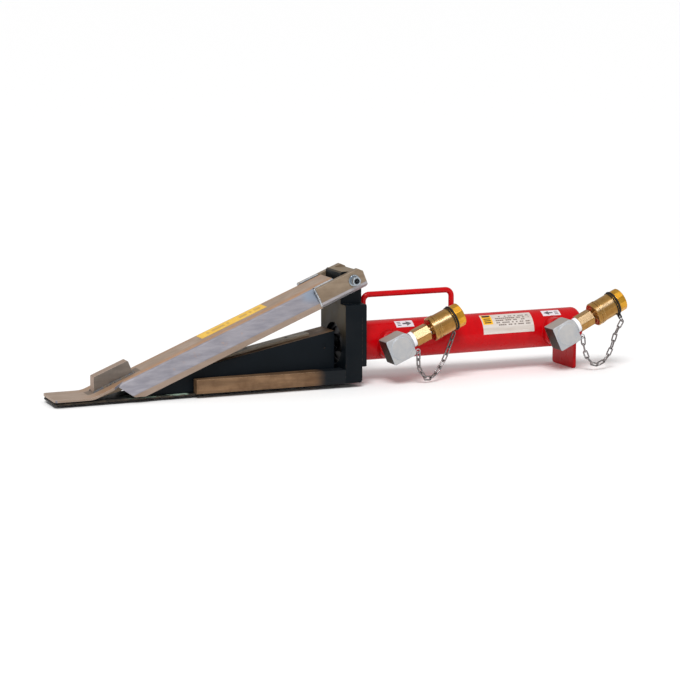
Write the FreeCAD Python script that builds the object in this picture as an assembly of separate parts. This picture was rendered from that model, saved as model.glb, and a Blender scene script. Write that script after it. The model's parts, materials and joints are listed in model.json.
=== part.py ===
import FreeCAD, Part

import math
import os

# Hydraulic wedge spreader: a hinged lifting jaw over a base plate, opened by a wedge on a double-acting cylinder.
# Frame: millimetres, +X from the toe to the cylinder's rear, +Z up, the jaw pivot axis straight above the origin,
# and Z = 0 on the base plate's underside. The side with the hydraulic ports is at -Y.

V = FreeCAD.Vector
X_AXIS = V(1, 0, 0)
Y_AXIS = V(0, 1, 0)
Z_AXIS = V(0, 0, 1)
ORIGIN = V(0, 0, 0)

# Clearances
slide_gap = 0.3          # between flat faces that slide or pass
running_gap = 0.06       # radial, a shaft turning or sliding in its bore
seat_gap = 0.04          # radial, parts fitted into each other for good

# Base plate and guide rails
tip_x = -422.0           # front edge of the toe
base_t = 3.2
base_half_w = 28.5
tip_corner_r = 5.0
rail_front_x = -229.0
rail_height = 19.0
rail_half_w_front = 36.0
rail_edge_r = 1.0

# Upright block with its tongue, and the flange behind it
upright_front_x = -16.0
upright_t = 25.0
upright_half_w = 43.6
upright_top_z = 111.0
tongue_half_w = 26.0
tongue_rear_x = 15.0
tongue_top_z = 155.5
flange_bottom_z = 24.5
flange_rear_x = 15.5
screw_r = 4.0
screw_inset = 10.0
screw_head_r = 6.5
screw_head_t = 4.4
screw_socket_flats = 5.0
screw_hold = 17.0        # shank length in the upright
upright_corner_r = 3.0
upright_heel_r = 4.0     # lower rear edge
tongue_edge = 2.0

# Jaw pivot
pin_z = 144.0
pin_r = 7.0
pin_end_r = 5.9
pin_end_len = 10.5
pin_socket_r = 4.1
pin_socket_depth = 9.0
pin_ring_t = 1.3
pin_ring_r = 7.9

# Jaw: pressed sheet, two fork arms, a stop fin and a thrust pad
jaw_slope = 22.08        # degrees, the jaw's top face against the base
jaw_top_v = 13.0         # top face above the pivot, square to the slope
jaw_sheet_t = 3.3
toe_top_z = 8.0
toe_half_w = 30.0
toe_bend_r = 32.0
jaw_flat_half_w = 22.5
jaw_side_half_w = 34.0
jaw_side_drop = 21.4     # where the sloping side turns down
jaw_depth = 29.0
jaw_ridge_r = 7.0
jaw_side_start_x = -334.0
jaw_shoulder_out = 2.6   # how far the flat top spreads over the folded sides where they begin
jaw_shoulder_run = 7.0
jaw_neck_run = 12.0
jaw_side_foot_x = -314.5
jaw_side_foot_z = 5.2
jaw_top_end_u = -24.0
arm_t = 8.0
arm_front_u = -55.5
arm_rear_u = 17.2
arm_bottom_v = -16.2
arm_top_v = 12.3
arm_corner = 5.5
arm_chamfer = 5.0
fin_front_x = -363.0
fin_rear_x = -308.5
fin_t = 16.0
fin_height = 19.0
fin_corner_r = 2.0
pad_front_x = -358.0
pad_rear_x = -317.0
pad_half_w = 16.0
pad_ramp = 0.25
pad_clear_z = 1.4        # pad's front lower edge above the base plate

# Wedge and its rod
wedge_rear_x = -24.0
wedge_nose_x = -313.0
wedge_half_w = 22.3
wedge_rear_top_z = 74.0
wedge_slope = 0.19
strip_half_w = 10.0
strip_t = 3.0
strip_front_x = -235.0
strip_rear_x = -56.5
strip_screw_r = 3.0
strip_screw_count = 3
rod_r = 12.5
rod_seat_depth = 34.0
cross_pin_r = 3.0
stroke = 100.0

# Cylinder
cyl_z = 53.6
tube_r = 27.5
tube_wall = 4.5
tube_front_x = -10.0
tube_rear_x = 367.0
upright_bore_r = 29.0
tube_end_round = 6.5
gland_len = 26.0
gland_lip = 3.0
end_cap_len = 24.0
piston_len = 24.0
piston_rest_gap = 36.0   # oil space behind the retracted piston
piston_seal_step = 7.0
nut_flats = 22.0
nut_t = 7.5
nut_room = 8.0
stop_tube_t = 3.5
seal_t = 2.2
seal_w = 4.0
seal_side_gap = 0.2
rod_seal_t = 3.6
seal_inset = 9.0
cap_seal_inset = 4.0
wiper_w = 4.0
wiper_lip = 2.0
wiper_lip_t = 1.4

# Handle and foot
handle_bar_r = 4.0
handle_top_z = 121.9
handle_front_x = 29.0
handle_rear_x = 165.4
handle_bend_r = 9.0
foot_x = 347.8
foot_t = 4.2
foot_half_w = 31.0
foot_drop = 3.5          # the foot stands a little lower than the base plate
foot_top_z = 42.0

# Ports, elbows and quick couplers
port_xs = {"front": 59.2, "rear": 318.8}
port_tilts = {"front": 23.1, "rear": 25.3}
port_drops = {"front": 3.6, "rear": 0.6}     # port axis below the cylinder's axis
boss_r = 20.0
boss_face_y = -36.0
boss_edge_r = 2.0
port_bore_r = 4.0
seal_washer_t = 1.6
seal_washer_r = 11.0
elbow_len = 36.0
elbow_width = 36.0
elbow_depth = 26.0
elbow_stem_r = 8.0
elbow_round_r = 10.0
elbow_heel_r = 4.5
elbow_edge_r = 2.5
elbow_bore_r = 4.5
elbow_disc_r = 15.5
elbow_disc_t = 0.6
collar_r = 10.5
collar_len = 3.0
thread_r = 8.4
thread_len = 10.0
ring_t = 5.0
ring_r = 10.8
hex_flats = 22.0
hex_len = 23.0
neck_r = 7.6
neck_len = 4.6
body_r = 11.5
body_bore_r = 7.2
sleeve_r = 17.4
sleeve_barrel_r = 16.7
sleeve_len = 31.6
sleeve_band_len = 12.5   # the thicker part the fingers pull on
sleeve_edge = 1.4
band_groove_w = 1.6
spring_inset = 3.0
spring_len = 14.0
spring_wire = 2.4
ball_r = 1.9
ball_count = 6
ball_inset = 8.0         # from the socket's mouth
seat_inset = 12.0
seat_t = 2.0
poppet_r = 5.2
poppet_cone_len = 4.0
poppet_nose_r = 3.6
poppet_stem_r = 1.8
poppet_room = 1.2
cap_gap = 0.4
cap_skirt_len = 7.2
cap_skirt_r = 16.7
cap_len = 18.0
cap_flats = 33.0         # across the cap's twelve shallow flats
cap_r = 17.0
cap_edge_r = 2.0
cap_plug_r = 6.9
cap_plug_len = 10.0
cap_wall = 2.3
cap_ring_r = 0.9
cap_ring_inset = 1.2
strap_r = 1.6
strap_inset = 4.4
strap_tab_w = 5.6
strap_tab_t = 3.2
strap_tab_len = 7.0
strap_hole_r = 1.7
strap_turns = {"front": 28.0, "rear": -12.0}   # where the tab hangs on the cap

# Dust cap chains
link_wire_r = 0.9
link_half_straight = 3.8
link_bend_r = 2.6
link_slack = 0.5
link_play = 1.7
eye_r = 3.1
eye_wire_r = 0.6
hang_ring_r = 4.0
eye_out = 4.2            # from the elbow's rear face
eye_side = -9.0
eye_low = -16.0
eye_stub_r = 0.8
chain_sags = {
    "front": [(88.5, 22.0), (95.3, 11.5), (103.2, 3.7), (114.2, 5.0), (124.8, 14.6), (135.0, 28.6), (143.6, 45.1)],
    "rear": [(348.7, 32.2), (355.0, 16.5), (365.7, 6.2), (376.3, 6.9), (386.7, 14.1), (395.1, 28.7), (401.8, 48.1)],
}

# Plates with printed marks
label_t = 0.35
label_lift = 0.01
jaw_label_front_u = -222.0
jaw_label_rear_u = -121.0
jaw_label_near_y = -7.0
jaw_label_far_y = 17.0

# Derived places
jaw_dir = V(math.cos(math.radians(jaw_slope)), 0, math.sin(math.radians(jaw_slope)))
jaw_tan = math.tan(math.radians(jaw_slope))
jaw_cos = math.cos(math.radians(jaw_slope))
upright_rear_x = upright_front_x + upright_t
bore_r = tube_r - tube_wall
wedge_bottom_z = base_t + slide_gap
bend_x = (toe_top_z - pin_z - jaw_top_v / jaw_cos) / jaw_tan
arm_inner_y = tongue_half_w + slide_gap + 0.5
arm_outer_y = arm_inner_y + arm_t
rail_inner_y = wedge_half_w + slide_gap
elbow_y = boss_face_y - seal_washer_t - elbow_depth / 2
piston_rear_x = tube_rear_x - end_cap_len - piston_rest_gap
piston_front_x = piston_rear_x - piston_len
gland_rear_x = tube_front_x + gland_len
spigot_r = rod_r * 0.6
cap_joint_x = tube_rear_x - end_cap_len * 0.4
cap_seal_x = tube_rear_x - end_cap_len + cap_seal_inset
gland_seal_x = gland_rear_x - seal_inset
elbow_face_a = elbow_len / 2 + collar_len
hex_a = elbow_face_a + ring_t
neck_a = hex_a + hex_len
sleeve_a = neck_a + neck_len
sleeve_end_a = sleeve_a + sleeve_len
cap_a = sleeve_end_a + cap_gap
cap_end_a = cap_a + cap_len
ball_a = sleeve_end_a - ball_inset
seat_a = sleeve_end_a - seat_inset
spring_a0 = sleeve_a + spring_inset
spring_a1 = spring_a0 + spring_len
spring_r = body_r - spring_wire / 2
strap_a = cap_a + strap_inset
strap_low = -cap_skirt_r - strap_r * 0.4
strap_hole_w = strap_low - strap_tab_len * 0.72


def box(x0, x1, y0, y1, z0, z1):
    return Part.makeBox(x1 - x0, y1 - y0, z1 - z0, V(x0, y0, z0))


def rod(r, start, axis, length):
    return Part.makeCylinder(r, length, start, axis)


def ring(r_out, r_in, start, axis, length):
    return rod(r_out, start, axis, length).cut(rod(r_in, start, axis, length))


def rod_x(r, x0, x1):
    return rod(r, V(x0, 0, cyl_z), X_AXIS, x1 - x0)


def ring_x(r_out, r_in, x0, x1):
    return ring(r_out, r_in, V(x0, 0, cyl_z), X_AXIS, x1 - x0)


def side_profile(points, half_w, centre_y=0.0):
    """A plate whose outline lies in the X-Z plane, half_w to each side of centre_y."""
    outline = [V(x, centre_y - half_w, z) for x, z in points]
    return Part.Face(Part.makePolygon(outline + outline[:1])).extrude(V(0, 2 * half_w, 0))


def plan_profile(points, z0, z1):
    """A plate whose outline lies in the X-Y plane."""
    outline = [V(x, y, z0) for x, y in points]
    return Part.Face(Part.makePolygon(outline + outline[:1])).extrude(V(0, 0, z1 - z0))


def edges_along(shape, axis, test):
    """Straight edges parallel to axis whose middle passes the test."""
    found = []
    for edge in shape.Edges:
        if not isinstance(edge.Curve, (Part.Line, Part.LineSegment)):
            continue
        a, b = edge.Vertexes[0].Point, edge.Vertexes[-1].Point
        run = b - a
        if run.Length > 1e-6 and abs(abs(run.normalize().dot(axis)) - 1) < 1e-6 and test((a + b) * 0.5):
            found.append(edge)
    return found


def rounded(shape, radius, axis, test):
    return shape.makeFillet(radius, edges_along(shape, axis, test))


def bevelled(shape, size, axis, test):
    return shape.makeChamfer(size, edges_along(shape, axis, test))


def one_solid(shape):
    solid = shape.removeSplitter()
    return solid.Solids[0] if len(solid.Solids) == 1 else solid


def from_jaw(shape):
    """Turn a shape from the jaw's own axes (u, y, v about the pivot) into the frame."""
    turned = shape.copy()
    turned.rotate(ORIGIN, Y_AXIS, -jaw_slope)
    turned.translate(V(0, 0, pin_z))
    return turned


def jaw_top_z(x):
    return pin_z + jaw_top_v / jaw_cos + x * jaw_tan


def wedge_top_z(x):
    return wedge_rear_top_z + wedge_slope * (x - wedge_rear_x)


def pad_bottom_z(x):
    return base_t + pad_clear_z + pad_ramp * (x - pad_front_x)


# Base plate, rails, upright and flange
def make_base_plate():
    plate = box(tip_x, upright_rear_x, -base_half_w, base_half_w, 0, base_t)
    plate = rounded(plate, tip_corner_r, Z_AXIS, lambda p: p.x < tip_x + 1)
    return plate.makeChamfer(base_t * 0.3, edges_along(plate, Y_AXIS, lambda p: p.x < tip_x + 1))


def make_rail(side):
    outline = [
        (rail_front_x, side * rail_inner_y),
        (rail_front_x, side * rail_half_w_front),
        (upright_front_x, side * upright_half_w),
        (upright_front_x, side * rail_inner_y),
    ]
    rail = plan_profile(outline, base_t, base_t + rail_height)
    return rounded(rail, rail_edge_r, Z_AXIS, lambda p: p.x < rail_front_x + 1)


def make_upright():
    block = box(upright_front_x, upright_rear_x, -upright_half_w, upright_half_w, base_t, upright_top_z)
    block = rounded(block, upright_corner_r, X_AXIS, lambda p: p.z > upright_top_z - 1)
    block = rounded(block, upright_heel_r, Y_AXIS, lambda p: p.z < base_t + 1 and p.x > upright_rear_x - 1)
    tongue = box(upright_front_x, upright_rear_x, -tongue_half_w, tongue_half_w, cyl_z, tongue_top_z)
    heel = box(0, tongue_rear_x, -tongue_half_w, tongue_half_w, upright_top_z, tongue_top_z)
    block = block.fuse(tongue).fuse(heel).removeSplitter()
    block = bevelled(block, tongue_edge, Y_AXIS, lambda p: p.z > tongue_top_z - 1)
    block = block.cut(rod_x(upright_bore_r, upright_front_x - 1, upright_rear_x + 1))
    pin_hole = rod(pin_r + running_gap, V(0, -tongue_half_w - 1, pin_z), Y_AXIS, 2 * tongue_half_w + 2)
    block = block.cut(pin_hole)
    for y, z in screw_places():
        block = block.cut(rod(screw_r + seat_gap, V(upright_rear_x - screw_hold - 1, y, z), X_AXIS, screw_hold + 2))
    return one_solid(block)


def screw_places():
    y = upright_half_w - screw_inset
    heights = (flange_bottom_z + screw_inset, upright_top_z - screw_inset)
    return [(side * y, z) for side in (-1, 1) for z in heights]


def make_flange_plate():
    plate = box(upright_rear_x, flange_rear_x, -upright_half_w, upright_half_w, flange_bottom_z, upright_top_z)
    plate = rounded(plate, upright_corner_r, X_AXIS, lambda p: True)
    plate = plate.cut(rod_x(tube_r + seat_gap, upright_rear_x - 1, flange_rear_x + 1))
    for y, z in screw_places():
        plate = plate.cut(rod(screw_r + seat_gap, V(upright_rear_x - 1, y, z), X_AXIS, flange_rear_x))
        plate = plate.cut(rod(screw_head_r + slide_gap, V(flange_rear_x - screw_head_t, y, z), X_AXIS, flange_rear_x))
    return plate


def make_flange_screws():
    screws = []
    for y, z in screw_places():
        under_head = flange_rear_x - screw_head_t
        shank = rod(screw_r, V(upright_rear_x - screw_hold, y, z), X_AXIS, under_head - upright_rear_x + screw_hold)
        head = rod(screw_head_r, V(under_head, y, z), X_AXIS, screw_head_t - slide_gap)
        socket = polygon_prism(6, screw_socket_flats, screw_head_t)
        socket.translate(V(under_head + screw_head_t * 0.4, y, z))
        screws.append(shank.fuse(head).removeSplitter().cut(socket))
    return Part.makeCompound(screws)


def polygon_prism(sides, flats, length):
    """A bar with that many flats along +X from the origin."""
    corner = flats / 2 / math.cos(math.pi / sides)
    turns = [2 * math.pi * i / sides for i in range(sides)]
    points = [V(0, corner * math.cos(t), corner * math.sin(t)) for t in turns]
    return Part.Face(Part.makePolygon(points + points[:1])).extrude(V(length, 0, 0))


# Jaw
def make_jaw_plate():
    end_x = jaw_top_end_u * jaw_cos - jaw_top_v * jaw_dir.z
    drop = jaw_sheet_t / jaw_cos
    under = toe_top_z - jaw_sheet_t
    under_bend_x = bend_x + (jaw_top_z(bend_x) - drop - under) * -1 / jaw_tan
    profile = [
        (tip_x, under), (tip_x, toe_top_z), (bend_x, toe_top_z),
        (end_x, jaw_top_z(end_x)), (end_x, jaw_top_z(end_x) - drop), (under_bend_x, under),
    ]
    sheet = side_profile(profile, toe_half_w)
    sheet = rounded(sheet, toe_bend_r, Y_AXIS, lambda p: abs(p.x - bend_x) < 0.01 and p.z > toe_top_z - 0.01)
    sheet = rounded(sheet, toe_bend_r + jaw_sheet_t, Y_AXIS, lambda p: abs(p.x - under_bend_x) < 0.01 and p.z < toe_top_z)
    neck_x = jaw_side_start_x + jaw_neck_run
    toe_end_x = jaw_side_start_x - jaw_shoulder_run
    shoulder = jaw_flat_half_w + jaw_shoulder_out
    inner = jaw_flat_half_w - jaw_ridge_r * 0.5
    plan = [
        (tip_x, -toe_half_w), (toe_end_x, -toe_half_w), (jaw_side_start_x, -shoulder), (neck_x, -inner),
        (end_x, -inner), (end_x, inner), (neck_x, inner), (jaw_side_start_x, shoulder),
        (toe_end_x, toe_half_w), (tip_x, toe_half_w),
    ]
    outline = plan_profile(plan, 0, 200)
    outline = rounded(outline, tip_corner_r, Z_AXIS, lambda p: p.x < tip_x + 1)
    sheet = sheet.common(outline)
    return one_solid(sheet.fuse(make_jaw_channel()))


def make_jaw_channel():
    """The folded part of the jaw: a flat top, two sloping sides and two upright lips."""
    lean = math.atan2(jaw_side_half_w - jaw_flat_half_w, jaw_side_drop)
    t = jaw_sheet_t
    inner_flat = jaw_flat_half_w - t * math.tan((math.pi / 2 - lean) / 2)
    inner_drop = jaw_side_drop + t * math.tan(lean / 2)
    outer = [(-jaw_side_half_w, -jaw_depth), (-jaw_side_half_w, -jaw_side_drop), (-jaw_flat_half_w, 0),
             (jaw_flat_half_w, 0), (jaw_side_half_w, -jaw_side_drop), (jaw_side_half_w, -jaw_depth)]
    inner = [(jaw_side_half_w - t, -jaw_depth), (jaw_side_half_w - t, -inner_drop), (inner_flat, -t),
             (-inner_flat, -t), (-jaw_side_half_w + t, -inner_drop), (-jaw_side_half_w + t, -jaw_depth)]
    u0 = jaw_side_start_x / jaw_cos + 50 * jaw_tan - 30
    u1 = jaw_top_end_u
    points = [V(u0, y, jaw_top_v + w) for y, w in outer + inner]
    section = Part.Face(Part.makePolygon(points + points[:1]))
    channel = section.extrude(V(u1 - u0, 0, 0))
    top = jaw_top_v
    channel = rounded(channel, jaw_ridge_r, X_AXIS, lambda p: abs(p.z - top) < 0.01)
    channel = rounded(channel, jaw_ridge_r - t, X_AXIS, lambda p: abs(p.z - top + t) < 0.01)
    channel = rounded(channel, 4.0, X_AXIS, lambda p: abs(p.z - top + jaw_side_drop) < 0.01)
    arm_room = arm_front_u
    for side in (-1, 1):
        y0, y1 = sorted((side * (jaw_flat_half_w - 1), side * 50))
        channel = channel.cut(box(arm_room, u1 + 1, y0, y1, -60, top + 5))
    channel = from_jaw(channel)
    ridge_z = jaw_top_z(jaw_side_start_x)
    front_cut = [(-430, -20), (-430, 200), (jaw_side_start_x - 3, 200), (jaw_side_start_x - 3, ridge_z),
                 (jaw_side_start_x, ridge_z - 4.0), (jaw_side_foot_x, jaw_side_foot_z), (0, jaw_side_foot_z), (0, -20)]
    return channel.cut(side_profile(front_cut, 60))


def make_arm(side):
    outline = [
        (arm_front_u, arm_bottom_v), (arm_front_u, arm_top_v), (arm_rear_u - arm_corner, arm_top_v),
        (arm_rear_u, arm_top_v - arm_corner), (arm_rear_u, arm_bottom_v + 2), (arm_rear_u - 2, arm_bottom_v),
    ]
    arm = side_profile(outline, arm_t / 2, side * (arm_inner_y + arm_outer_y) / 2)
    outer = side * arm_outer_y
    arm = bevelled(arm, arm_chamfer * 0.8, X_AXIS, lambda p: abs(p.y - outer) < 0.01 and p.z < arm_bottom_v + 0.1)
    arm = arm.cut(rod(pin_r + seat_gap, V(0, -50, 0), Y_AXIS, 100))
    return from_jaw(arm)


def make_stop_fin():
    z_front = jaw_top_z(fin_front_x)
    z_rear = jaw_top_z(fin_rear_x)
    lean = fin_height * jaw_dir.z
    outline = [(fin_front_x, z_front), (fin_front_x, z_front + fin_height / jaw_cos),
               (fin_rear_x - lean, z_rear + fin_height * jaw_cos), (fin_rear_x, z_rear)]
    fin = side_profile(outline, fin_t / 2)
    return rounded(fin, fin_corner_r, Y_AXIS, lambda p: p.z > jaw_top_z(p.x) + fin_height * 0.9)


def make_thrust_pad():
    drop = jaw_sheet_t / jaw_cos
    outline = [(pad_front_x, pad_bottom_z(pad_front_x)), (pad_front_x, jaw_top_z(pad_front_x) - drop),
               (pad_rear_x, jaw_top_z(pad_rear_x) - drop), (pad_rear_x, pad_bottom_z(pad_rear_x))]
    return side_profile(outline, pad_half_w)


# Pivot pin
def make_pivot_pin():
    half = arm_outer_y + 0.2
    pin = rod(pin_r, V(0, -half, pin_z), Y_AXIS, 2 * half)
    for side in (-1, 1):
        end = rod(pin_end_r, V(0, side * half, pin_z), V(0, side, 0), pin_end_len)
        socket = rod(pin_socket_r, V(0, side * (half + pin_end_len - pin_socket_depth), pin_z), V(0, side, 0), 20)
        pin = pin.fuse(end).cut(socket)
    return one_solid(pin)


def make_pin_rings():
    start = arm_outer_y + 0.2
    rings = []
    for side in (-1, 1):
        rings.append(ring(pin_ring_r, pin_end_r + seat_gap, V(0, side * start, pin_z), V(0, side, 0), pin_ring_t))
    return Part.makeCompound(rings)


# Wedge
def make_wedge_block():
    nose_top = pad_bottom_z(wedge_nose_x) - slide_gap - 0.1
    rise = pad_ramp - wedge_slope
    knee_x = wedge_nose_x + (wedge_top_z(wedge_nose_x) - nose_top) / rise
    outline = [
        (wedge_nose_x, wedge_bottom_z), (wedge_nose_x, nose_top), (knee_x, wedge_top_z(knee_x)),
        (wedge_rear_x, wedge_rear_top_z), (wedge_rear_x, wedge_bottom_z),
    ]
    block = side_profile(outline, wedge_half_w)
    block = block.cut(rod_x(rod_r + seat_gap, wedge_rear_x - rod_seat_depth, wedge_rear_x + 1))
    block = block.cut(cross_pin_bar(cross_pin_r + seat_gap, wedge_half_w + 1))
    for x in strip_screw_xs():
        block = block.cut(strip_screw_bar(x, strip_screw_r * 0.8 + seat_gap, -12, strip_t))
    return one_solid(block)


def cross_pin_bar(radius, half):
    x = wedge_rear_x - rod_seat_depth * 0.45
    return rod(radius, V(x, -half, cyl_z), Y_AXIS, 2 * half)


def strip_screw_xs():
    run = strip_rear_x - strip_front_x
    return [strip_front_x + run * (i + 0.5) / strip_screw_count for i in range(strip_screw_count)]


def strip_screw_bar(x, radius, low, high):
    """A bar square to the wedge's top face, from low to high above that face."""
    lift = 1 / math.hypot(1, wedge_slope)
    normal = V(-wedge_slope * lift, 0, lift)
    return rod(radius, V(x, 0, wedge_top_z(x)) + normal * low, normal, high - low)


def make_wear_strip():
    rise = strip_t * math.hypot(1, wedge_slope)
    outline = [(strip_front_x, wedge_top_z(strip_front_x)), (strip_front_x + 6, wedge_top_z(strip_front_x + 6) + rise),
               (strip_rear_x, wedge_top_z(strip_rear_x) + rise), (strip_rear_x, wedge_top_z(strip_rear_x))]
    strip = side_profile(outline, strip_half_w)
    for x in strip_screw_xs():
        strip = strip.cut(strip_screw_bar(x, strip_screw_r + seat_gap, -1, strip_t + 2))
    return strip


def make_strip_screws():
    screws = []
    for x in strip_screw_xs():
        shank = strip_screw_bar(x, strip_screw_r * 0.8, -11, 0.2)
        head = strip_screw_bar(x, strip_screw_r, 0.1, strip_t - 0.4)
        screws.append(shank.fuse(head).removeSplitter())
    return Part.makeCompound(screws)


# Cylinder, rod and seals
def make_cylinder_tube():
    tube = rod_x(tube_r, tube_front_x, cap_joint_x)
    tube = tube.cut(rod_x(bore_r, tube_front_x - 1, tube_rear_x))
    for name in port_xs:
        tube = tube.cut(port_bar(name, port_bore_r, boss_face_y, 0))
    return tube


def seal_groove(x):
    return ring_x(bore_r + 1, bore_r - seal_t, x, x + seal_w)


def bore_seal(x):
    """A ring in a groove, against the cylinder's bore."""
    inner = bore_r - seal_t + seat_gap
    return ring_x(bore_r - seat_gap, inner, x + seal_side_gap, x + seal_w - seal_side_gap)


def make_end_cap():
    rear = rod_x(tube_r, cap_joint_x, tube_rear_x)
    rim = [e for e in rear.Edges if e.BoundBox.XMin > tube_rear_x - 0.1]
    rear = rear.makeFillet(tube_end_round, rim)
    spigot = rod_x(bore_r - seat_gap, tube_rear_x - end_cap_len, cap_joint_x + 1)
    return one_solid(rear.fuse(spigot.cut(seal_groove(cap_seal_x))))


def make_head_gland():
    gland = ring_x(bore_r - seat_gap, rod_r + running_gap, tube_front_x + gland_lip, gland_rear_x)
    gland = gland.cut(ring_x(rod_r + rod_seal_t + seat_gap, rod_r, gland_seal_x, gland_seal_x + seal_w))
    wiper_end_x = tube_front_x + gland_lip + wiper_w
    gland = gland.cut(ring_x(rod_r + rod_seal_t + seat_gap, rod_r, tube_front_x, wiper_end_x))
    return gland.cut(seal_groove(gland_seal_x))


def make_rod_seal():
    x = gland_seal_x
    return ring_x(rod_r + rod_seal_t, rod_r + running_gap, x + seal_side_gap, x + seal_w - seal_side_gap)


def make_rod_wiper():
    x = tube_front_x + gland_lip
    wiper = ring_x(rod_r + rod_seal_t, rod_r + running_gap, x, x + wiper_w - seal_side_gap)
    return wiper.fuse(ring_x(rod_r + wiper_lip_t, rod_r + running_gap, x - wiper_lip, x)).removeSplitter()


def make_piston_rod():
    front = wedge_rear_x - rod_seat_depth + 0.5
    bar = rod_x(rod_r, front, piston_front_x).fuse(rod_x(spigot_r, piston_front_x, piston_rear_x)).removeSplitter()
    return bar.cut(cross_pin_bar(cross_pin_r + seat_gap, rod_r + 1))


def piston_seal_xs():
    return [piston_front_x + 2.5 + piston_seal_step * i for i in range(2)]


def make_piston():
    piston = ring_x(bore_r - running_gap, spigot_r + seat_gap, piston_front_x, piston_rear_x - nut_room)
    for x in piston_seal_xs():
        piston = piston.cut(seal_groove(x))
    return piston


def make_piston_nut():
    nut = polygon_prism(6, nut_flats, nut_t)
    nut.translate(V(piston_rear_x - nut_room + 0.1, 0, cyl_z))
    return nut.cut(rod_x(spigot_r + seat_gap, piston_rear_x - nut_room - 1, piston_rear_x + 1))


def make_stop_tube():
    rear = piston_front_x - slide_gap
    front = gland_rear_x + stroke + slide_gap
    return ring_x(rod_r + stop_tube_t, rod_r + running_gap, front, rear)


# Handle and foot
def make_carry_handle():
    z = handle_top_z - handle_bar_r
    foot_z = cyl_z + tube_r - 0.4
    r = handle_bend_r
    x0, x1 = handle_front_x, handle_rear_x
    q = r * (1 - math.cos(math.radians(45)))
    edges = [
        Part.makeLine(V(x0, 0, foot_z), V(x0, 0, z - r)),
        Part.Arc(V(x0, 0, z - r), V(x0 + q, 0, z - q), V(x0 + r, 0, z)).toShape(),
        Part.makeLine(V(x0 + r, 0, z), V(x1 - r, 0, z)),
        Part.Arc(V(x1 - r, 0, z), V(x1 - q, 0, z - q), V(x1, 0, z - r)).toShape(),
        Part.makeLine(V(x1, 0, z - r), V(x1, 0, foot_z)),
    ]
    path = Part.Wire(edges)
    circle = Part.Wire([Part.makeCircle(handle_bar_r, V(x0, 0, foot_z), Z_AXIS)])
    bar = path.makePipeShell([circle], True, True)
    return bar.cut(rod_x(tube_r + 0.02, tube_front_x, tube_rear_x))


def make_foot_plate():
    plate = box(foot_x, foot_x + foot_t, -foot_half_w, foot_half_w, -foot_drop, foot_top_z)
    plate = rounded(plate, 4.0, X_AXIS, lambda p: p.z < 0)
    plate = rounded(plate, 4.0, X_AXIS, lambda p: p.z > foot_top_z - 1)
    return one_solid(plate.cut(rod_x(tube_r + seat_gap, foot_x - 1, foot_x + foot_t + 1)))


# Ports and couplers. Each is built along its own axis a from the elbow's centre, then tilted up by the port's angle.
def port_height(name):
    return cyl_z - port_drops[name]


def port_bar(name, radius, y0, y1):
    return rod(radius, V(port_xs[name], y0, port_height(name)), Y_AXIS, y1 - y0)


def to_port(shape, name):
    placed = shape.copy()
    placed.rotate(ORIGIN, Y_AXIS, -port_tilts[name])
    placed.translate(V(port_xs[name], elbow_y, port_height(name)))
    return placed


def turned(r, a0, a1):
    return rod(r, V(a0, 0, 0), X_AXIS, a1 - a0)


def hollow(r_out, r_in, a0, a1):
    return ring(r_out, r_in, V(a0, 0, 0), X_AXIS, a1 - a0)


def make_port_boss(name):
    boss = port_bar(name, boss_r, boss_face_y, 0)
    rim = [e for e in boss.Edges if e.BoundBox.YMax < boss_face_y + 0.1]
    boss = boss.makeFillet(boss_edge_r, rim)
    boss = boss.cut(rod_x(tube_r + label_lift, tube_front_x, tube_rear_x))
    boss = boss.cut(port_bar(name, elbow_stem_r + seat_gap, boss_face_y - 1, -tube_r - seat_gap))
    return boss.cut(port_bar(name, port_bore_r, boss_face_y - 1, 0))


def make_elbow(name):
    half_l, half_d, half_w = elbow_len / 2, elbow_depth / 2, elbow_width / 2
    block = box(-half_l, half_l, -half_d, half_d, -half_w, half_w)
    block = rounded(block, elbow_round_r, Y_AXIS, lambda p: p.x > 0 and p.z > 0)
    block = rounded(block, elbow_heel_r, Y_AXIS, lambda p: p.x > 0 and p.z < 0)
    block = rounded(block, elbow_edge_r, Y_AXIS, lambda p: p.x < 0)
    stem_len = seal_washer_t - boss_face_y - tube_r - slide_gap
    block = block.fuse(rod(elbow_stem_r, V(0, half_d, 0), Y_AXIS, stem_len))
    block = block.fuse(rod(elbow_disc_r, V(0, -half_d - elbow_disc_t, 0), Y_AXIS, 1))
    block = block.fuse(turned(collar_r, half_l - 1, elbow_face_a))
    block = block.cut(rod(elbow_bore_r, ORIGIN, Y_AXIS, elbow_width * 2))
    block = block.cut(turned(elbow_bore_r, 0, elbow_face_a + 1))
    block = block.cut(turned(thread_r, elbow_face_a - thread_len, elbow_face_a + 1))
    centre = V(half_l + eye_out, eye_side, eye_low)
    block = block.fuse(Part.makeTorus(eye_r, eye_wire_r, centre, Y_AXIS))
    block = block.fuse(rod(eye_stub_r, V(half_l - 1, eye_side, eye_low), X_AXIS, 1 + eye_out - eye_r + eye_wire_r / 2))
    return one_solid(to_port(block, name))


def make_port_washer(name):
    y0 = boss_face_y - seal_washer_t
    return port_bar(name, seal_washer_r, y0, boss_face_y).cut(port_bar(name, elbow_stem_r + seat_gap, y0 - 1, 0))


def make_spacer_ring(name):
    return to_port(hollow(ring_r, thread_r, elbow_face_a, hex_a), name)


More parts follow.
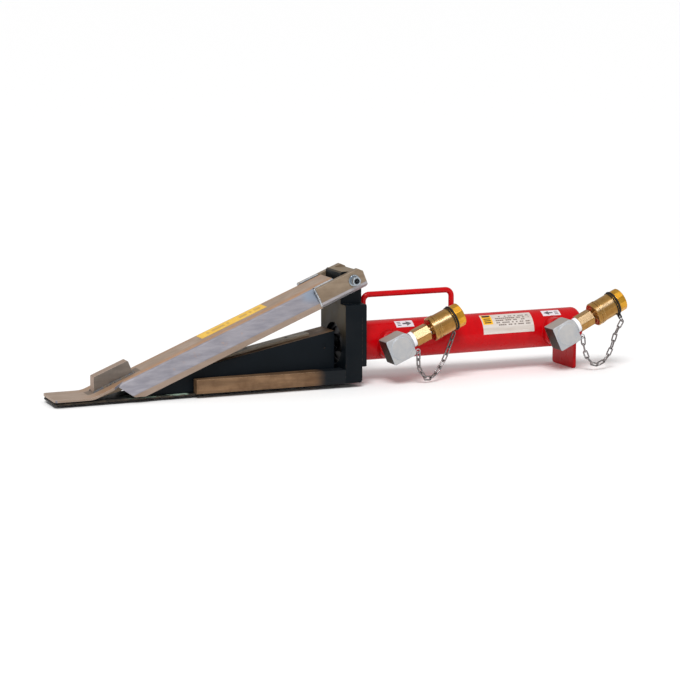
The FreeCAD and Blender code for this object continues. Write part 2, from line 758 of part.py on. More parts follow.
def make_coupler_body(name):
    nut = polygon_prism(6, hex_flats, hex_len)
    nut.translate(V(hex_a, 0, 0))
    nut = nut.common(turned(hex_flats * 0.56, hex_a - 1, neck_a + 1))
    stem = turned(thread_r - seat_gap, elbow_face_a - thread_len + 1, hex_a + 1)
    barrel = turned(body_r, sleeve_a + 0.5, sleeve_end_a - 0.5)
    body = nut.fuse(stem).fuse(turned(neck_r, neck_a - 1, sleeve_a + 1)).fuse(barrel)
    body = body.cut(turned(elbow_bore_r, elbow_face_a - thread_len, seat_a + 1))
    body = body.cut(turned(poppet_r + poppet_room, neck_a, seat_a - seat_t))
    body = body.cut(turned(body_bore_r, seat_a, sleeve_end_a + 1))
    body = body.cut(hollow(body_r + 1, spring_r - spring_wire / 2, spring_a0, spring_a1))
    for angle in ball_angles():
        body = body.cut(ball_socket(angle))
    return to_port(one_solid(body), name)


def ball_angles():
    return [2 * math.pi * (i + 0.25) / ball_count for i in range(ball_count)]


def ball_place(angle, radius):
    return V(ball_a, radius * math.cos(angle), radius * math.sin(angle))


def ball_socket(angle):
    return rod(ball_r + seat_gap, ball_place(angle, 0), ball_place(angle, 1) - ball_place(angle, 0), body_r + 2)


def make_lock_balls(name):
    reach = body_r - ball_r
    return Part.makeCompound([to_port(Part.makeSphere(ball_r, ball_place(a, reach)), name) for a in ball_angles()])


def make_lock_sleeve(name):
    band_end_a = sleeve_a + sleeve_band_len
    band = turned(sleeve_r, sleeve_a, band_end_a)
    band = band.makeChamfer(sleeve_edge, [e for e in band.Edges if e.Length > sleeve_r])
    shell = band.fuse(turned(sleeve_barrel_r, band_end_a - 2, sleeve_end_a))
    bore = body_r + running_gap
    shell = shell.cut(turned(bore, sleeve_a - 1, sleeve_end_a + 1))
    shell = shell.cut(hollow(spring_r + spring_wire / 2 + slide_gap, bore - 1, spring_a0, spring_a1))
    for part in (0.45, 0.8):
        groove_a = sleeve_a + sleeve_band_len * part
        shell = shell.cut(hollow(sleeve_r + 1, sleeve_r - 1, groove_a, groove_a + band_groove_w))
    return to_port(one_solid(shell), name)


def make_sleeve_spring(name):
    """The return spring as its closed outer shape."""
    inner = spring_r - spring_wire / 2 + slide_gap
    return to_port(hollow(spring_r + spring_wire / 2, inner, spring_a0 + slide_gap, spring_a1 - slide_gap), name)


def make_poppet(name):
    """The valve in its seat: a stem guided in the bore, and a cone that closes the bore."""
    cone_a = seat_a - seat_t - poppet_cone_len - slide_gap * 2
    head = Part.makeCone(poppet_r, poppet_nose_r, poppet_cone_len, V(cone_a, 0, 0), X_AXIS)
    stem = turned(poppet_stem_r, neck_a + 1, cone_a + 1)
    nose = turned(poppet_nose_r, cone_a + poppet_cone_len - 0.1, seat_a + 3)
    return to_port(one_solid(head.fuse(stem).fuse(nose)), name)


def make_dust_cap(name):
    head_a = cap_a + cap_skirt_len
    head = polygon_prism(12, cap_flats, cap_end_a - head_a)
    head.translate(V(head_a, 0, 0))
    disc = turned(cap_r, head_a - 0.5, cap_end_a)
    disc = disc.makeFillet(cap_edge_r, [e for e in disc.Edges if e.BoundBox.XMin > cap_end_a - 0.1])
    plug = turned(cap_plug_r, cap_a - cap_plug_len, cap_a + 1)
    plug = plug.makeChamfer(1.0, [e for e in plug.Edges if e.BoundBox.XMax < cap_a - cap_plug_len + 0.1])
    cap = disc.common(head).fuse(turned(cap_skirt_r, cap_a, head_a)).fuse(plug)
    for a, wire in ((strap_a, strap_r), (cap_a + cap_ring_inset, cap_ring_r)):
        cap = cap.cut(Part.makeTorus(cap_skirt_r, wire + seat_gap, V(a, 0, 0), X_AXIS))
    cap = cap.cut(turned(cap_plug_r - cap_wall, cap_a - cap_plug_len - 1, cap_a - 2))
    return to_port(one_solid(cap), name)


def make_cap_strap(name):
    """A rubber hoop round the cap with a tab below it, and a thin ring between cap and sleeve."""
    hoop = Part.makeTorus(cap_skirt_r, strap_r, V(strap_a, 0, 0), X_AXIS)
    half_w, half_t = strap_tab_w / 2, strap_tab_t / 2
    tab = box(strap_a - half_w, strap_a + half_w, -half_t, half_t, strap_low - strap_tab_len, strap_low)
    tab = rounded(tab, half_t * 0.7, Z_AXIS, lambda p: True)
    tab = tab.cut(rod(strap_hole_r, V(strap_a, -strap_tab_t, strap_hole_w), Y_AXIS, 2 * strap_tab_t))
    thin_ring = Part.makeTorus(cap_skirt_r, cap_ring_r, V(cap_a + cap_ring_inset, 0, 0), X_AXIS)
    return hang(Part.makeCompound([one_solid(hoop.fuse(tab)), thin_ring]), name)


def hang(shape, name):
    """Turn a shape round the port's own axis to where the strap's tab hangs, then place it."""
    shape.rotate(ORIGIN, X_AXIS, strap_turns[name])
    return to_port(shape, name)


def make_hang_ring(name):
    return hang(Part.makeTorus(hang_ring_r, eye_wire_r, V(strap_a, 0, strap_hole_w - hang_ring_r), X_AXIS), name)


def chain_line(name):
    """From the elbow's eye, down through the sag, and up to the ring in the strap's tab."""
    first = to_port(Part.Vertex(elbow_len / 2 + eye_out, eye_side, eye_low - eye_r + link_play), name).Point
    last = hang(Part.Vertex(strap_a, 0, strap_hole_w - 2 * hang_ring_r + link_play), name).Point
    sag = chain_sags[name]
    drift = (last.y - first.y) / (len(sag) + 1)
    points = [V(x, first.y + drift * (i + 1), z) for i, (x, z) in enumerate(sag)]
    curve = Part.BSplineCurve()
    curve.interpolate([first] + points + [last])
    return curve


def make_link():
    """One link along X: two straight wires joined by two half rings."""
    s, r = link_half_straight, link_bend_r
    link = rod(link_wire_r, V(-s, -r, 0), X_AXIS, 2 * s).fuse(rod(link_wire_r, V(-s, r, 0), X_AXIS, 2 * s))
    for end in (-1, 1):
        x0, x1 = sorted((end * s, end * (s + r + link_wire_r + 1)))
        bend = Part.makeTorus(r, link_wire_r, V(end * s, 0, 0), Z_AXIS)
        link = link.fuse(bend.common(box(x0, x1, -2 * r, 2 * r, -r, r)))
    return one_solid(link)


def make_chain(name):
    """The links from the elbow's eye, and the ring in the strap's tab."""
    curve = chain_line(name)
    pitch = 2 * (link_half_straight + link_bend_r - link_wire_r) - link_slack
    total = curve.length()
    count = round(total / pitch)
    link = make_link()
    pieces = [make_hang_ring(name)]
    for i in range(count):
        u = curve.parameterAtDistance((i + 0.5) * total / count, curve.FirstParameter)
        turn = FreeCAD.Rotation(X_AXIS, V(*curve.tangent(u)[0]))
        placed = link.copy()
        placed.rotate(ORIGIN, X_AXIS, 45 if i % 2 else -45)
        placed.Placement = FreeCAD.Placement(curve.value(u), turn).multiply(placed.Placement)
        pieces.append(placed)
    return Part.makeCompound(pieces)


# Plates with printed marks
def curved_plate(x0, x1, angle0, angle1):
    """A thin plate on the cylinder between two angles from straight up, towards the port side."""
    shell = ring_x(tube_r + label_t, tube_r + label_lift, x0, x1)
    wedge_points = [V(x0, 0, cyl_z)]
    for angle in (angle0, (angle0 + angle1) / 2, angle1):
        a = math.radians(angle)
        wedge_points.append(V(x0, -60 * math.sin(a), cyl_z + 60 * math.cos(a)))
    sector = Part.Face(Part.makePolygon(wedge_points + wedge_points[:1])).extrude(V(x1 - x0, 0, 0))
    return shell.common(sector)


def make_jaw_label():
    plate = box(jaw_label_front_u, jaw_label_rear_u, jaw_label_near_y, jaw_label_far_y, jaw_top_v, jaw_top_v + label_t)
    return from_jaw(plate)


nodes = {
    "base_plate": make_base_plate(),
    "rail_near": make_rail(-1),
    "rail_far": make_rail(1),
    "upright_block": make_upright(),
    "flange_plate": make_flange_plate(),
    "flange_screws": make_flange_screws(),
    "jaw_plate": make_jaw_plate(),
    "fork_arm_near": make_arm(-1),
    "fork_arm_far": make_arm(1),
    "stop_fin": make_stop_fin(),
    "thrust_pad": make_thrust_pad(),
    "jaw_label": make_jaw_label(),
    "pivot_pin": make_pivot_pin(),
    "pivot_rings": make_pin_rings(),
    "wedge_block": make_wedge_block(),
    "wear_strip": make_wear_strip(),
    "strip_screws": make_strip_screws(),
    "piston_rod": make_piston_rod(),
    "rod_cross_pin": cross_pin_bar(cross_pin_r, wedge_half_w - 0.5),
    "piston": make_piston(),
    "piston_seals": Part.makeCompound([bore_seal(x) for x in piston_seal_xs()]),
    "piston_nut": make_piston_nut(),
    "stop_tube": make_stop_tube(),
    "cylinder_tube": make_cylinder_tube(),
    "cylinder_end_cap": make_end_cap(),
    "end_cap_seal": bore_seal(cap_seal_x),
    "head_gland": make_head_gland(),
    "gland_seal": bore_seal(gland_seal_x),
    "rod_seal": make_rod_seal(),
    "rod_wiper": make_rod_wiper(),
    "carry_handle": make_carry_handle(),
    "foot_plate": make_foot_plate(),
    "rating_plate": curved_plate(204, 285, 22, 88),
    "front_port_label": curved_plate(71.5, 98.5, 22, 48),
    "rear_port_label": curved_plate(304, 333, 19, 43),
}

for port in port_xs:
    nodes[port + "_port_boss"] = make_port_boss(port)
    nodes[port + "_port_washer"] = make_port_washer(port)
    nodes[port + "_elbow"] = make_elbow(port)
    nodes[port + "_spacer_ring"] = make_spacer_ring(port)
    nodes[port + "_coupler_body"] = make_coupler_body(port)
    nodes[port + "_lock_balls"] = make_lock_balls(port)
    nodes[port + "_lock_sleeve"] = make_lock_sleeve(port)
    nodes[port + "_sleeve_spring"] = make_sleeve_spring(port)
    nodes[port + "_poppet"] = make_poppet(port)
    nodes[port + "_dust_cap"] = make_dust_cap(port)
    nodes[port + "_cap_strap"] = make_cap_strap(port)
    nodes[port + "_chain"] = make_chain(port)

os.makedirs("parts", exist_ok=True)
for name, shape in nodes.items():
    shape.exportStep("parts/" + name + ".step")
    print(name, len(shape.Solids), "solids", round(shape.Volume), "mm3", "valid" if shape.isValid() else "NOT VALID")
print(len(nodes), "nodes")
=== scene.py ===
import json
import math

import bmesh
import bpy
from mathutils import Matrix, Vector


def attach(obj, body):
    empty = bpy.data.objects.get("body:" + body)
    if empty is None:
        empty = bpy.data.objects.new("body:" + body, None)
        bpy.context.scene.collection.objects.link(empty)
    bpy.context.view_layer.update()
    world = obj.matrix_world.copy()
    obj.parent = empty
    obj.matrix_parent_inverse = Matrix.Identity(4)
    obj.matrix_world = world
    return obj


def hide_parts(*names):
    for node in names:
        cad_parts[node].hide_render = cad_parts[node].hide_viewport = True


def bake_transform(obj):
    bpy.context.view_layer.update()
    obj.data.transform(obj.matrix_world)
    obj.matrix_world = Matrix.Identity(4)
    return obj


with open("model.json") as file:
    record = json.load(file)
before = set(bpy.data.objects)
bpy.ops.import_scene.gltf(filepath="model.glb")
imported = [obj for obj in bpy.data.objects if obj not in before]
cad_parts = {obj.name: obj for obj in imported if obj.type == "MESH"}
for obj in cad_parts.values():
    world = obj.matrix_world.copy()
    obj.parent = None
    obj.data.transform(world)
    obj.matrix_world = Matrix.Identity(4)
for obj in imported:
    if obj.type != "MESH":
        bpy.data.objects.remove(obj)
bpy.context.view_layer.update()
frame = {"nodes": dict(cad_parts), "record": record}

# Sizes in metres, in the object's own frame: +X from toe to cylinder rear, +Z up, ports at -Y.
FLANGE_REAR_X = 0.0155
PIN_Z = 0.144
JAW_SLOPE = math.radians(22.08)
JAW_TOP_V = 0.013
ARM_FRONT_U = -0.0555
ARM_OUTER_Y = 0.0348
ARM_GROUND_V = -0.0088
CYL_Z = 0.0536
TUBE_R = 0.0275
HANDLE_XS = (0.029, 0.1654)
HANDLE_R = 0.004
FOOT_X = 0.3478
FOOT_T = 0.0042
FLOOR_Z = -0.0036
PORTS = {
    "front": {"x": 0.0592, "z": 0.0500, "tilt": math.radians(23.1), "turn": math.radians(28)},
    "rear": {"x": 0.3188, "z": 0.0530, "tilt": math.radians(25.3), "turn": math.radians(-12)},
}
ELBOW_Y = -0.0506
STRAP_A = 0.0900
BOSS_R = 0.020
SEED = 7

scene = bpy.context.scene


def srgb(r, g, b):
    """A colour given as it looks on screen, 0 to 255, in linear light."""
    def one(v):
        v /= 255
        return v / 12.92 if v <= 0.04045 else ((v + 0.055) / 1.055) ** 2.4
    return (one(r), one(g), one(b), 1.0)


class Net:
    """Builds a node tree: any input may be a number, a colour or another node's output."""

    def __init__(self, tree):
        self.tree = tree

    def node(self, kind, inputs=None, **settings):
        made = self.tree.nodes.new(kind)
        for key, value in settings.items():
            setattr(made, key, value)
        for key, value in (inputs or {}).items():
            if isinstance(value, bpy.types.NodeSocket):
                self.tree.links.new(value, made.inputs[key])
            else:
                made.inputs[key].default_value = value
        return made

    def math(self, operation, a, b=0.0):
        return self.node("ShaderNodeMath", {0: a, 1: b}, operation=operation, use_clamp=False).outputs[0]

    def step(self, value, low, high):
        """0 below low, 1 above high, smooth between."""
        made = self.node("ShaderNodeMapRange", {0: value, 1: low, 2: high}, interpolation_type="SMOOTHSTEP")
        return made.outputs[0]

    def span(self, value, low, high):
        """1 between low and high, else 0."""
        return self.math("MULTIPLY", self.math("GREATER_THAN", value, low),
                         self.math("LESS_THAN", value, high))

    def mix(self, factor, a, b, blend="MIX"):
        made = self.node("ShaderNodeMix", {0: factor, 6: a, 7: b}, data_type="RGBA", blend_type=blend)
        return made.outputs[2]

    def place(self):
        """Object coordinates: X, Y and Z."""
        return tuple(self.node("ShaderNodeSeparateXYZ",
                               {0: self.node("ShaderNodeTexCoord").outputs["Object"]}).outputs)

    def facing(self):
        """The surface's direction: X, Y and Z."""
        return tuple(self.node("ShaderNodeSeparateXYZ",
                               {0: self.node("ShaderNodeTexCoord").outputs["Normal"]}).outputs)


def effect_group(name, sockets, results, build):
    """A shader node group with named inputs (name, kind, default) and outputs (name, kind)."""
    tree = bpy.data.node_groups.new(name, "ShaderNodeTree")
    for label, kind, default in sockets:
        made = tree.interface.new_socket(label, in_out="INPUT", socket_type=kind)
        made.default_value = default
    for label, kind in results:
        tree.interface.new_socket(label, in_out="OUTPUT", socket_type=kind)
    net = Net(tree)
    source = tree.nodes.new("NodeGroupInput")
    sink = tree.nodes.new("NodeGroupOutput")
    for label, value in build(net, source.outputs).items():
        tree.links.new(value, sink.inputs[label])
    return tree


def build_edge_wear_and_highlight(net, given):
    """Where edges are: the rounded normal leaves the flat one, broken up by noise."""
    soft = net.node("ShaderNodeBevel", {"Radius": given["Radius"]}, samples=4).outputs[0]
    flat = net.node("ShaderNodeNewGeometry").outputs["Normal"]
    dot = net.node("ShaderNodeVectorMath", {0: soft, 1: flat}, operation="DOT_PRODUCT").outputs["Value"]
    edge = net.step(net.math("SUBTRACT", 1.0, dot), 0.01, 0.16)
    vector = net.node("ShaderNodeTexCoord").outputs["Object"]
    noise = net.node("ShaderNodeTexNoise", {"Vector": vector, "Scale": given["Scale"], "Detail": 5.0})
    broken = net.step(noise.outputs[0], given["Low"], given["High"])
    return {"Mask": net.math("MULTIPLY", edge, broken), "Edge": edge, "Normal": soft}


def build_grain(net, given):
    """Noise stretched along the object's axes, as a mask and a height."""
    vector = net.node("ShaderNodeTexCoord").outputs["Object"]
    drawn = net.node("ShaderNodeVectorMath", {0: vector, 1: given["Stretch"]},
                     operation="MULTIPLY").outputs[0]
    noise = net.node("ShaderNodeTexNoise", {"Vector": drawn, "Scale": given["Scale"],
                                            "Detail": given["Detail"],
                                            "Roughness": 0.62}).outputs[0]
    return {"Mask": net.step(noise, given["Low"], given["High"]), "Height": noise}


def build_print(net, given):
    """A printed rectangle in plate coordinates."""
    across = net.span(given["U"], given["U0"], given["U1"])
    along = net.span(given["V"], given["V0"], given["V1"])
    return {"Mask": net.math("MULTIPLY", across, along)}


FLOAT = "NodeSocketFloat"
VECTOR = "NodeSocketVector"
EDGE = effect_group("edge_wear_and_highlight", [("Radius", FLOAT, 0.001), ("Scale", FLOAT, 300.0), ("Low", FLOAT, 0.4),
                                  ("High", FLOAT, 0.6)], [("Mask", FLOAT), ("Edge", FLOAT),
                                                          ("Normal", VECTOR)],
                    build_edge_wear_and_highlight)
GRAIN = effect_group("grain", [("Scale", FLOAT, 100.0), ("Stretch", VECTOR, (1, 1, 1)),
                               ("Detail", FLOAT, 5.0),
                               ("Low", FLOAT, 0.4), ("High", FLOAT, 0.6)], [("Mask", FLOAT),
                                                                            ("Height", FLOAT)],
                     build_grain)
PRINT = effect_group("printed_bar", [(n, FLOAT, 0.0) for n in ("U", "V", "U0", "U1", "V0", "V1")],
                     [("Mask", FLOAT)], build_print)


def edge(net, radius=0.001, scale=300.0, low=0.4, high=0.6):
    return net.node("ShaderNodeGroup", {"Radius": radius, "Scale": scale, "Low": low, "High": high},
                    node_tree=EDGE).outputs


def grain(net, scale, low=0.35, high=0.65, stretch=(1, 1, 1), detail=5.0):
    return net.node("ShaderNodeGroup", {"Scale": scale, "Stretch": stretch, "Detail": detail, "Low": low,
                                        "High": high}, node_tree=GRAIN).outputs


def bar(net, u, v, u0, u1, v0, v1):
    return net.node("ShaderNodeGroup", {"U": u, "V": v, "U0": u0, "U1": u1, "V0": v0, "V1": v1},
                    node_tree=PRINT).outputs[0]


def material(name, build, **fixed):
    """A material: build gives what varies over the surface, fixed sets the shader's own sockets."""
    made = bpy.data.materials.new(name)
    made.use_nodes = True
    tree = made.node_tree
    tree.nodes.clear()
    net = Net(tree)
    shader = net.node("ShaderNodeBsdfPrincipled")
    for key, value in fixed.items():
        shader.inputs[key.replace("_", " ")].default_value = value
    varying = build(net)
    height = varying.pop("Height", None)
    strength = varying.pop("Strength", 0.2)
    depth = varying.pop("Depth", 0.0004)
    rounded = varying.pop("Rounded", None)
    for key, value in varying.items():
        if isinstance(value, bpy.types.NodeSocket):
            tree.links.new(value, shader.inputs[key])
        else:
            shader.inputs[key].default_value = value
    if height is not None:
        bump = net.node("ShaderNodeBump", {"Strength": strength, "Distance": depth, "Height": height})
        if rounded is not None:
            tree.links.new(rounded, bump.inputs["Normal"])
        tree.links.new(bump.outputs[0], shader.inputs["Normal"])
    elif rounded is not None:
        tree.links.new(rounded, shader.inputs["Normal"])
    tree.links.new(shader.outputs[0], net.node("ShaderNodeOutputMaterial").inputs[0])
    return made


def roughness(net, base, spread, mask):
    return net.math("ADD", base, net.math("MULTIPLY", mask, spread))


# Paints
def build_red(net):
    mottle = grain(net, 60.0, 0.3, 0.7)
    peel = grain(net, 900.0, 0.3, 0.7, detail=2.0)
    edge_marks = edge(net, 0.0012, 420.0, 0.62, 0.74)
    colour = net.mix(mottle[0], srgb(190, 0, 10), srgb(176, 0, 8))
    colour = net.mix(net.math("MULTIPLY", edge_marks[0], 0.5), colour, srgb(96, 20, 16))
    x, _, _ = net.place()
    # painted shade: the cylinder's front end, which sits inside the upright's bore, is darkened to near black
    front = net.step(net.math("SUBTRACT", FLANGE_REAR_X + 0.0012, x), 0.0, 0.001)
    colour = net.mix(front, colour, srgb(16, 17, 19))
    return {"Base Color": colour, "Roughness": roughness(net, 0.26, 0.08, mottle[0]), "Height": peel[1],
            "Strength": 0.05, "Rounded": edge_marks[2]}


def build_black(net):
    """Thin satin black: brown steel shows on the front face, at the edges and where the jaw rubs."""
    _, _, z = net.place()
    nx, _, nz = net.facing()
    cloud = grain(net, 26.0, 0.35, 0.7)
    fine = grain(net, 700.0, 0.3, 0.7)
    edge_marks = edge(net, 0.0009, 330.0, 0.48, 0.62)
    front = net.math("MULTIPLY", net.step(net.math("MULTIPLY", nx, -1.0), 0.5, 0.9),
                     net.step(z, 0.045, 0.115))
    front = net.math("MULTIPLY", front, net.step(net.math("SUBTRACT", 0.126, z), 0.0, 0.006))
    front = net.math("MULTIPLY", front, roughness(net, 0.55, 0.45, cloud[0]))
    black = net.mix(cloud[0], srgb(4, 11, 17), srgb(13, 18, 22))
    colour = net.mix(front, black, srgb(84, 70, 44))
    crown = net.math("MULTIPLY", net.step(nz, 0.6, 0.95), net.step(z, 0.15, 0.1535))
    colour = net.mix(crown, colour, net.mix(cloud[0], srgb(118, 104, 86), srgb(134, 116, 92)))
    colour = net.mix(net.math("MULTIPLY", edge_marks[0], 0.55), colour, srgb(96, 84, 70))
    return {"Base Color": colour, "Roughness": roughness(net, 0.42, 0.14, cloud[0]), "Height": fine[1],
            "Strength": 0.10, "Rounded": edge_marks[2]}


def build_wedge(net):
    """Black sides, and a top rubbed to bare brown steel with long scratches."""
    _, _, nz = net.facing()
    streak = grain(net, 160.0, 0.35, 0.7, (0.12, 1.0, 1.0))
    cloud = grain(net, 34.0, 0.3, 0.7)
    edge_marks = edge(net, 0.0009, 260.0, 0.45, 0.62)
    top = net.step(nz, 0.6, 0.9)
    bare = net.mix(streak[0], srgb(66, 50, 34), srgb(140, 108, 74))
    bare = net.mix(cloud[0], bare, srgb(96, 72, 50))
    black = net.mix(cloud[0], srgb(3, 10, 16), srgb(9, 16, 22))
    colour = net.mix(top, black, bare)
    colour = net.mix(net.math("MULTIPLY", edge_marks[0], net.step(nz, 0.1, 0.6)), colour, srgb(104, 86, 66))
    return {"Base Color": colour, "Roughness": roughness(net, 0.40, 0.15, cloud[0]),
            "Metallic": net.math("MULTIPLY", top,
                                 0.55), "Height": streak[1], "Strength": 0.12, "Rounded": edge_marks[2]}


def build_arm_weld(net):
    """Bright weld metal, silver to pale blue."""
    cloud = grain(net, 300.0, 0.35, 0.65)
    soot = grain(net, 420.0, 0.60, 0.72)
    colour = net.mix(cloud[0], srgb(150, 156, 164), srgb(190, 190, 190))
    colour = net.mix(net.math("MULTIPLY", soot[0], 0.8), colour, srgb(70, 64, 60))
    return {"Base Color": colour, "Roughness": roughness(net, 0.36, 0.2, cloud[0]), "Metallic": 0.6,
            "Height": cloud[1], "Strength": 0.4}


def build_base(net):
    """Black plate: brown rubbed edges, and a pale green patch on the top ahead of the rails."""
    x, _, _ = net.place()
    _, ny, nz = net.facing()
    cloud = grain(net, 70.0, 0.4, 0.6)
    patch = grain(net, 190.0, 0.44, 0.54, (0.4, 1.0, 1.0), 7.0)
    edge_marks = edge(net, 0.0011, 220.0, 0.40, 0.58)
    black = net.mix(cloud[0], srgb(10, 16, 18), srgb(24, 26, 26))
    side = net.math("MULTIPLY", net.step(net.math("ABSOLUTE", ny), 0.5, 0.9), cloud[0])
    colour = net.mix(net.math("MULTIPLY", side, 0.5), black, srgb(84, 70, 56))
    band = net.math("MULTIPLY", net.step(x, -0.33, -0.30),
                    net.step(net.math("MULTIPLY", x, -1.0), 0.236, 0.242))
    band = net.math("MULTIPLY", net.math("MULTIPLY", band, net.step(nz, 0.5, 0.9)), patch[0])
    colour = net.mix(band, colour, srgb(158, 182, 164))
    colour = net.mix(net.math("MULTIPLY", edge_marks[0], 0.75), colour, srgb(128, 108, 88))
    return {"Base Color": colour, "Roughness": roughness(net, 0.42, 0.2, cloud[0]), "Height": cloud[1],
            "Strength": 0.12, "Rounded": edge_marks[2]}


# Bare steels
def steel_parts(net, warm, dark, light, scale=30.0):
    cloud = grain(net, scale, 0.32, 0.68)
    streak = grain(net, 150.0, 0.3, 0.72, (0.10, 1.0, 1.0), 6.0)
    pits = grain(net, 900.0, 0.35, 0.65)
    colour = net.mix(cloud[0], warm, light)
    colour = net.mix(net.math("MULTIPLY", streak[0], 0.45), colour, dark)
    return colour, cloud, streak, pits


def build_rail(net):
    """Brown mill scale that fades under sprayed black near the upright."""
    x, _, _ = net.place()
    colour, cloud, _, pits = steel_parts(net, srgb(112, 84, 60), srgb(58, 42, 31), srgb(142, 112, 84), 46.0)
    edge_marks = edge(net, 0.0008, 320.0, 0.35, 0.55)
    colour = net.mix(net.math("MULTIPLY", edge_marks[0], 0.8), colour, srgb(196, 166, 134))
    spray = net.step(net.math("ADD", x, net.math("MULTIPLY", cloud[1], 0.02)), -0.058, -0.034)
    colour = net.mix(spray, colour, srgb(9, 15, 20))
    return {"Base Color": colour, "Roughness": roughness(net, 0.46, 0.16, cloud[0]),
            "Metallic": net.math("MULTIPLY", net.math("SUBTRACT", 1.0, spray), 0.45), "Height": pits[1],
            "Strength": 0.22, "Rounded": edge_marks[2]}


def build_sheet(net):
    """Pressed sheet: warm top and lips, blue-grey sloping sides, and a heat tint ahead of the arms."""
    x, y, z = net.place()
    _, ny, nz = net.facing()
    colour, cloud, streak, pits = steel_parts(net, srgb(160, 137, 117), srgb(134, 110, 90),
                                              srgb(174, 154, 138), 24.0)
    ridge = net.math("MULTIPLY", net.step(net.math("ABSOLUTE", y), 0.008, 0.021), net.step(nz, 0.55, 0.8))
    ridge = net.math("MULTIPLY", ridge, net.step(x, -0.40, -0.33))
    colour = net.mix(net.math("MULTIPLY", ridge, 0.65), colour, srgb(172, 128, 90))
    sideways = net.math("ABSOLUTE", ny)
    slope = net.math("MULTIPLY", net.step(sideways, 0.45, 0.72),
                     net.step(net.math("SUBTRACT", 1.0, sideways), 0.015, 0.07))
    blue = net.mix(streak[0], srgb(126, 123, 129), srgb(106, 104, 112))
    colour = net.mix(slope, colour, blue)
    lip = net.step(sideways, 0.95, 0.99)
    colour = net.mix(net.math("MULTIPLY", lip, 0.6), colour,
                     net.mix(cloud[0], srgb(128, 111, 98), srgb(142, 124, 112)))
    soot = net.math("MULTIPLY", net.span(x, -0.372, -0.299), net.step(nz, 0.5, 0.8))
    reach = net.math("ADD", net.math("ABSOLUTE", y), net.math("MULTIPLY", cloud[1], 0.006))
    soot = net.math("MULTIPLY", soot, net.step(net.math("SUBTRACT", 0.0165, reach), 0.0, 0.004))
    colour = net.mix(net.math("MULTIPLY", soot, 0.7), colour, srgb(92, 80, 70))
    rust = grain(net, 90.0, 0.60, 0.74)
    colour = net.mix(net.math("MULTIPLY", rust[0], 0.35), colour, srgb(160, 116, 80))
    ragged = net.math("ADD", x, net.math("MULTIPLY", grain(net, 60.0)[1], 0.012))
    tint = net.math("MULTIPLY", net.step(ragged, -0.072, -0.058), net.step(sideways, 0.4, 0.7))
    tint = net.math("MULTIPLY", tint, net.step(net.math("SUBTRACT", z, 0.112), 0.0, 0.012))
    colour = net.mix(net.math("MULTIPLY", tint, 0.8), colour, srgb(112, 124, 140))
    edge_marks = edge(net, 0.0007, 300.0, 0.3, 0.5)
    colour = net.mix(net.math("MULTIPLY", edge_marks[0], 0.5), colour, srgb(214, 204, 198))
    return {"Base Color": colour, "Roughness": roughness(net, 0.42, 0.14, cloud[0]), "Metallic": 0.35,
            "Height": pits[1], "Strength": 0.10, "Rounded": edge_marks[2]}


def build_arm(net):
    """Flame-cut arm: warm faces, a bluish ground bevel and bright corners."""
    _, ny, _ = net.facing()
    colour, cloud, streak, pits = steel_parts(net, srgb(132, 114, 94), srgb(104, 86, 68),
                                              srgb(150, 132, 112), 40.0)
    x, _, z = net.place()
    height = net.math("SUBTRACT", net.math("MULTIPLY", net.math("SUBTRACT", z, PIN_Z), math.cos(JAW_SLOPE)),
                      net.math("MULTIPLY", x, math.sin(JAW_SLOPE)))
    bevel = net.math("MULTIPLY", net.step(net.math("SUBTRACT", ARM_GROUND_V, height), -0.0004, 0.0004),
                     net.step(net.math("ABSOLUTE", ny), 0.3, 0.5))
    colour = net.mix(bevel, colour, net.mix(streak[0], srgb(168, 164, 166), srgb(150, 146, 150)))
    edge_marks = edge(net, 0.0010, 260.0, 0.3, 0.5)
    colour = net.mix(net.math("MULTIPLY", edge_marks[0], 0.7), colour, srgb(186, 170, 152))
    return {"Base Color": colour, "Roughness": roughness(net, 0.44, 0.14, cloud[0]), "Metallic": 0.35,
            "Height": pits[1], "Strength": 0.2, "Rounded": edge_marks[2]}


def build_fin(net):
    colour, cloud, _, pits = steel_parts(net, srgb(104, 96, 89), srgb(84, 74, 66), srgb(122, 112, 103), 60.0)
    nx, _, nz = net.facing()
    colour = net.mix(net.step(nz, 0.6, 0.9), colour, srgb(156, 134, 118))
    colour = net.mix(net.step(net.math("MULTIPLY", nx, -1.0), 0.6, 0.9), colour, srgb(168, 144, 128))
    edge_marks = edge(net, 0.0008, 260.0, 0.3, 0.5)
    colour = net.mix(net.math("MULTIPLY", edge_marks[0], 0.6), colour, srgb(206, 190, 176))
    return {"Base Color": colour, "Roughness": roughness(net, 0.46, 0.14, cloud[0]), "Metallic": 0.35,
            "Height": pits[1], "Strength": 0.2, "Rounded": edge_marks[2]}


def build_strip(net):
    colour, _, streak, _ = steel_parts(net, srgb(150, 138, 120), srgb(112, 100, 84),
                                       srgb(176, 164, 146), 40.0)
    edge_marks = edge(net, 0.0006, 260.0, 0.3, 0.5)
    colour = net.mix(net.math("MULTIPLY", edge_marks[0], 0.6), colour, srgb(206, 198, 186))
    return {"Base Color": colour, "Roughness": roughness(net, 0.36, 0.16, streak[0]), "Metallic": 0.6,
            "Height": streak[1], "Strength": 0.15, "Rounded": edge_marks[2]}


def plain_metal(first, second, rough, metallic=1.0, scale=120.0, bump=0.08, edge_colour=None,
                stretch=(1, 1, 1)):
    """A metal with soft clouding, fine turning marks and lighter edges."""
    def build(net):
        cloud = grain(net, scale, 0.3, 0.7, stretch)
        fine = grain(net, 1400.0, 0.3, 0.7)
        edge_marks = edge(net, 0.0006, 500.0, 0.3, 0.5)
        colour = net.mix(cloud[0], first, second)
        if edge_colour is not None:
            colour = net.mix(net.math("MULTIPLY", edge_marks[0], 0.6), colour, edge_colour)
        return {"Base Color": colour, "Roughness": roughness(net, rough, 0.10, cloud[0]),
                "Metallic": metallic, "Height": fine[1], "Strength": bump, "Rounded": edge_marks[2]}
    return build


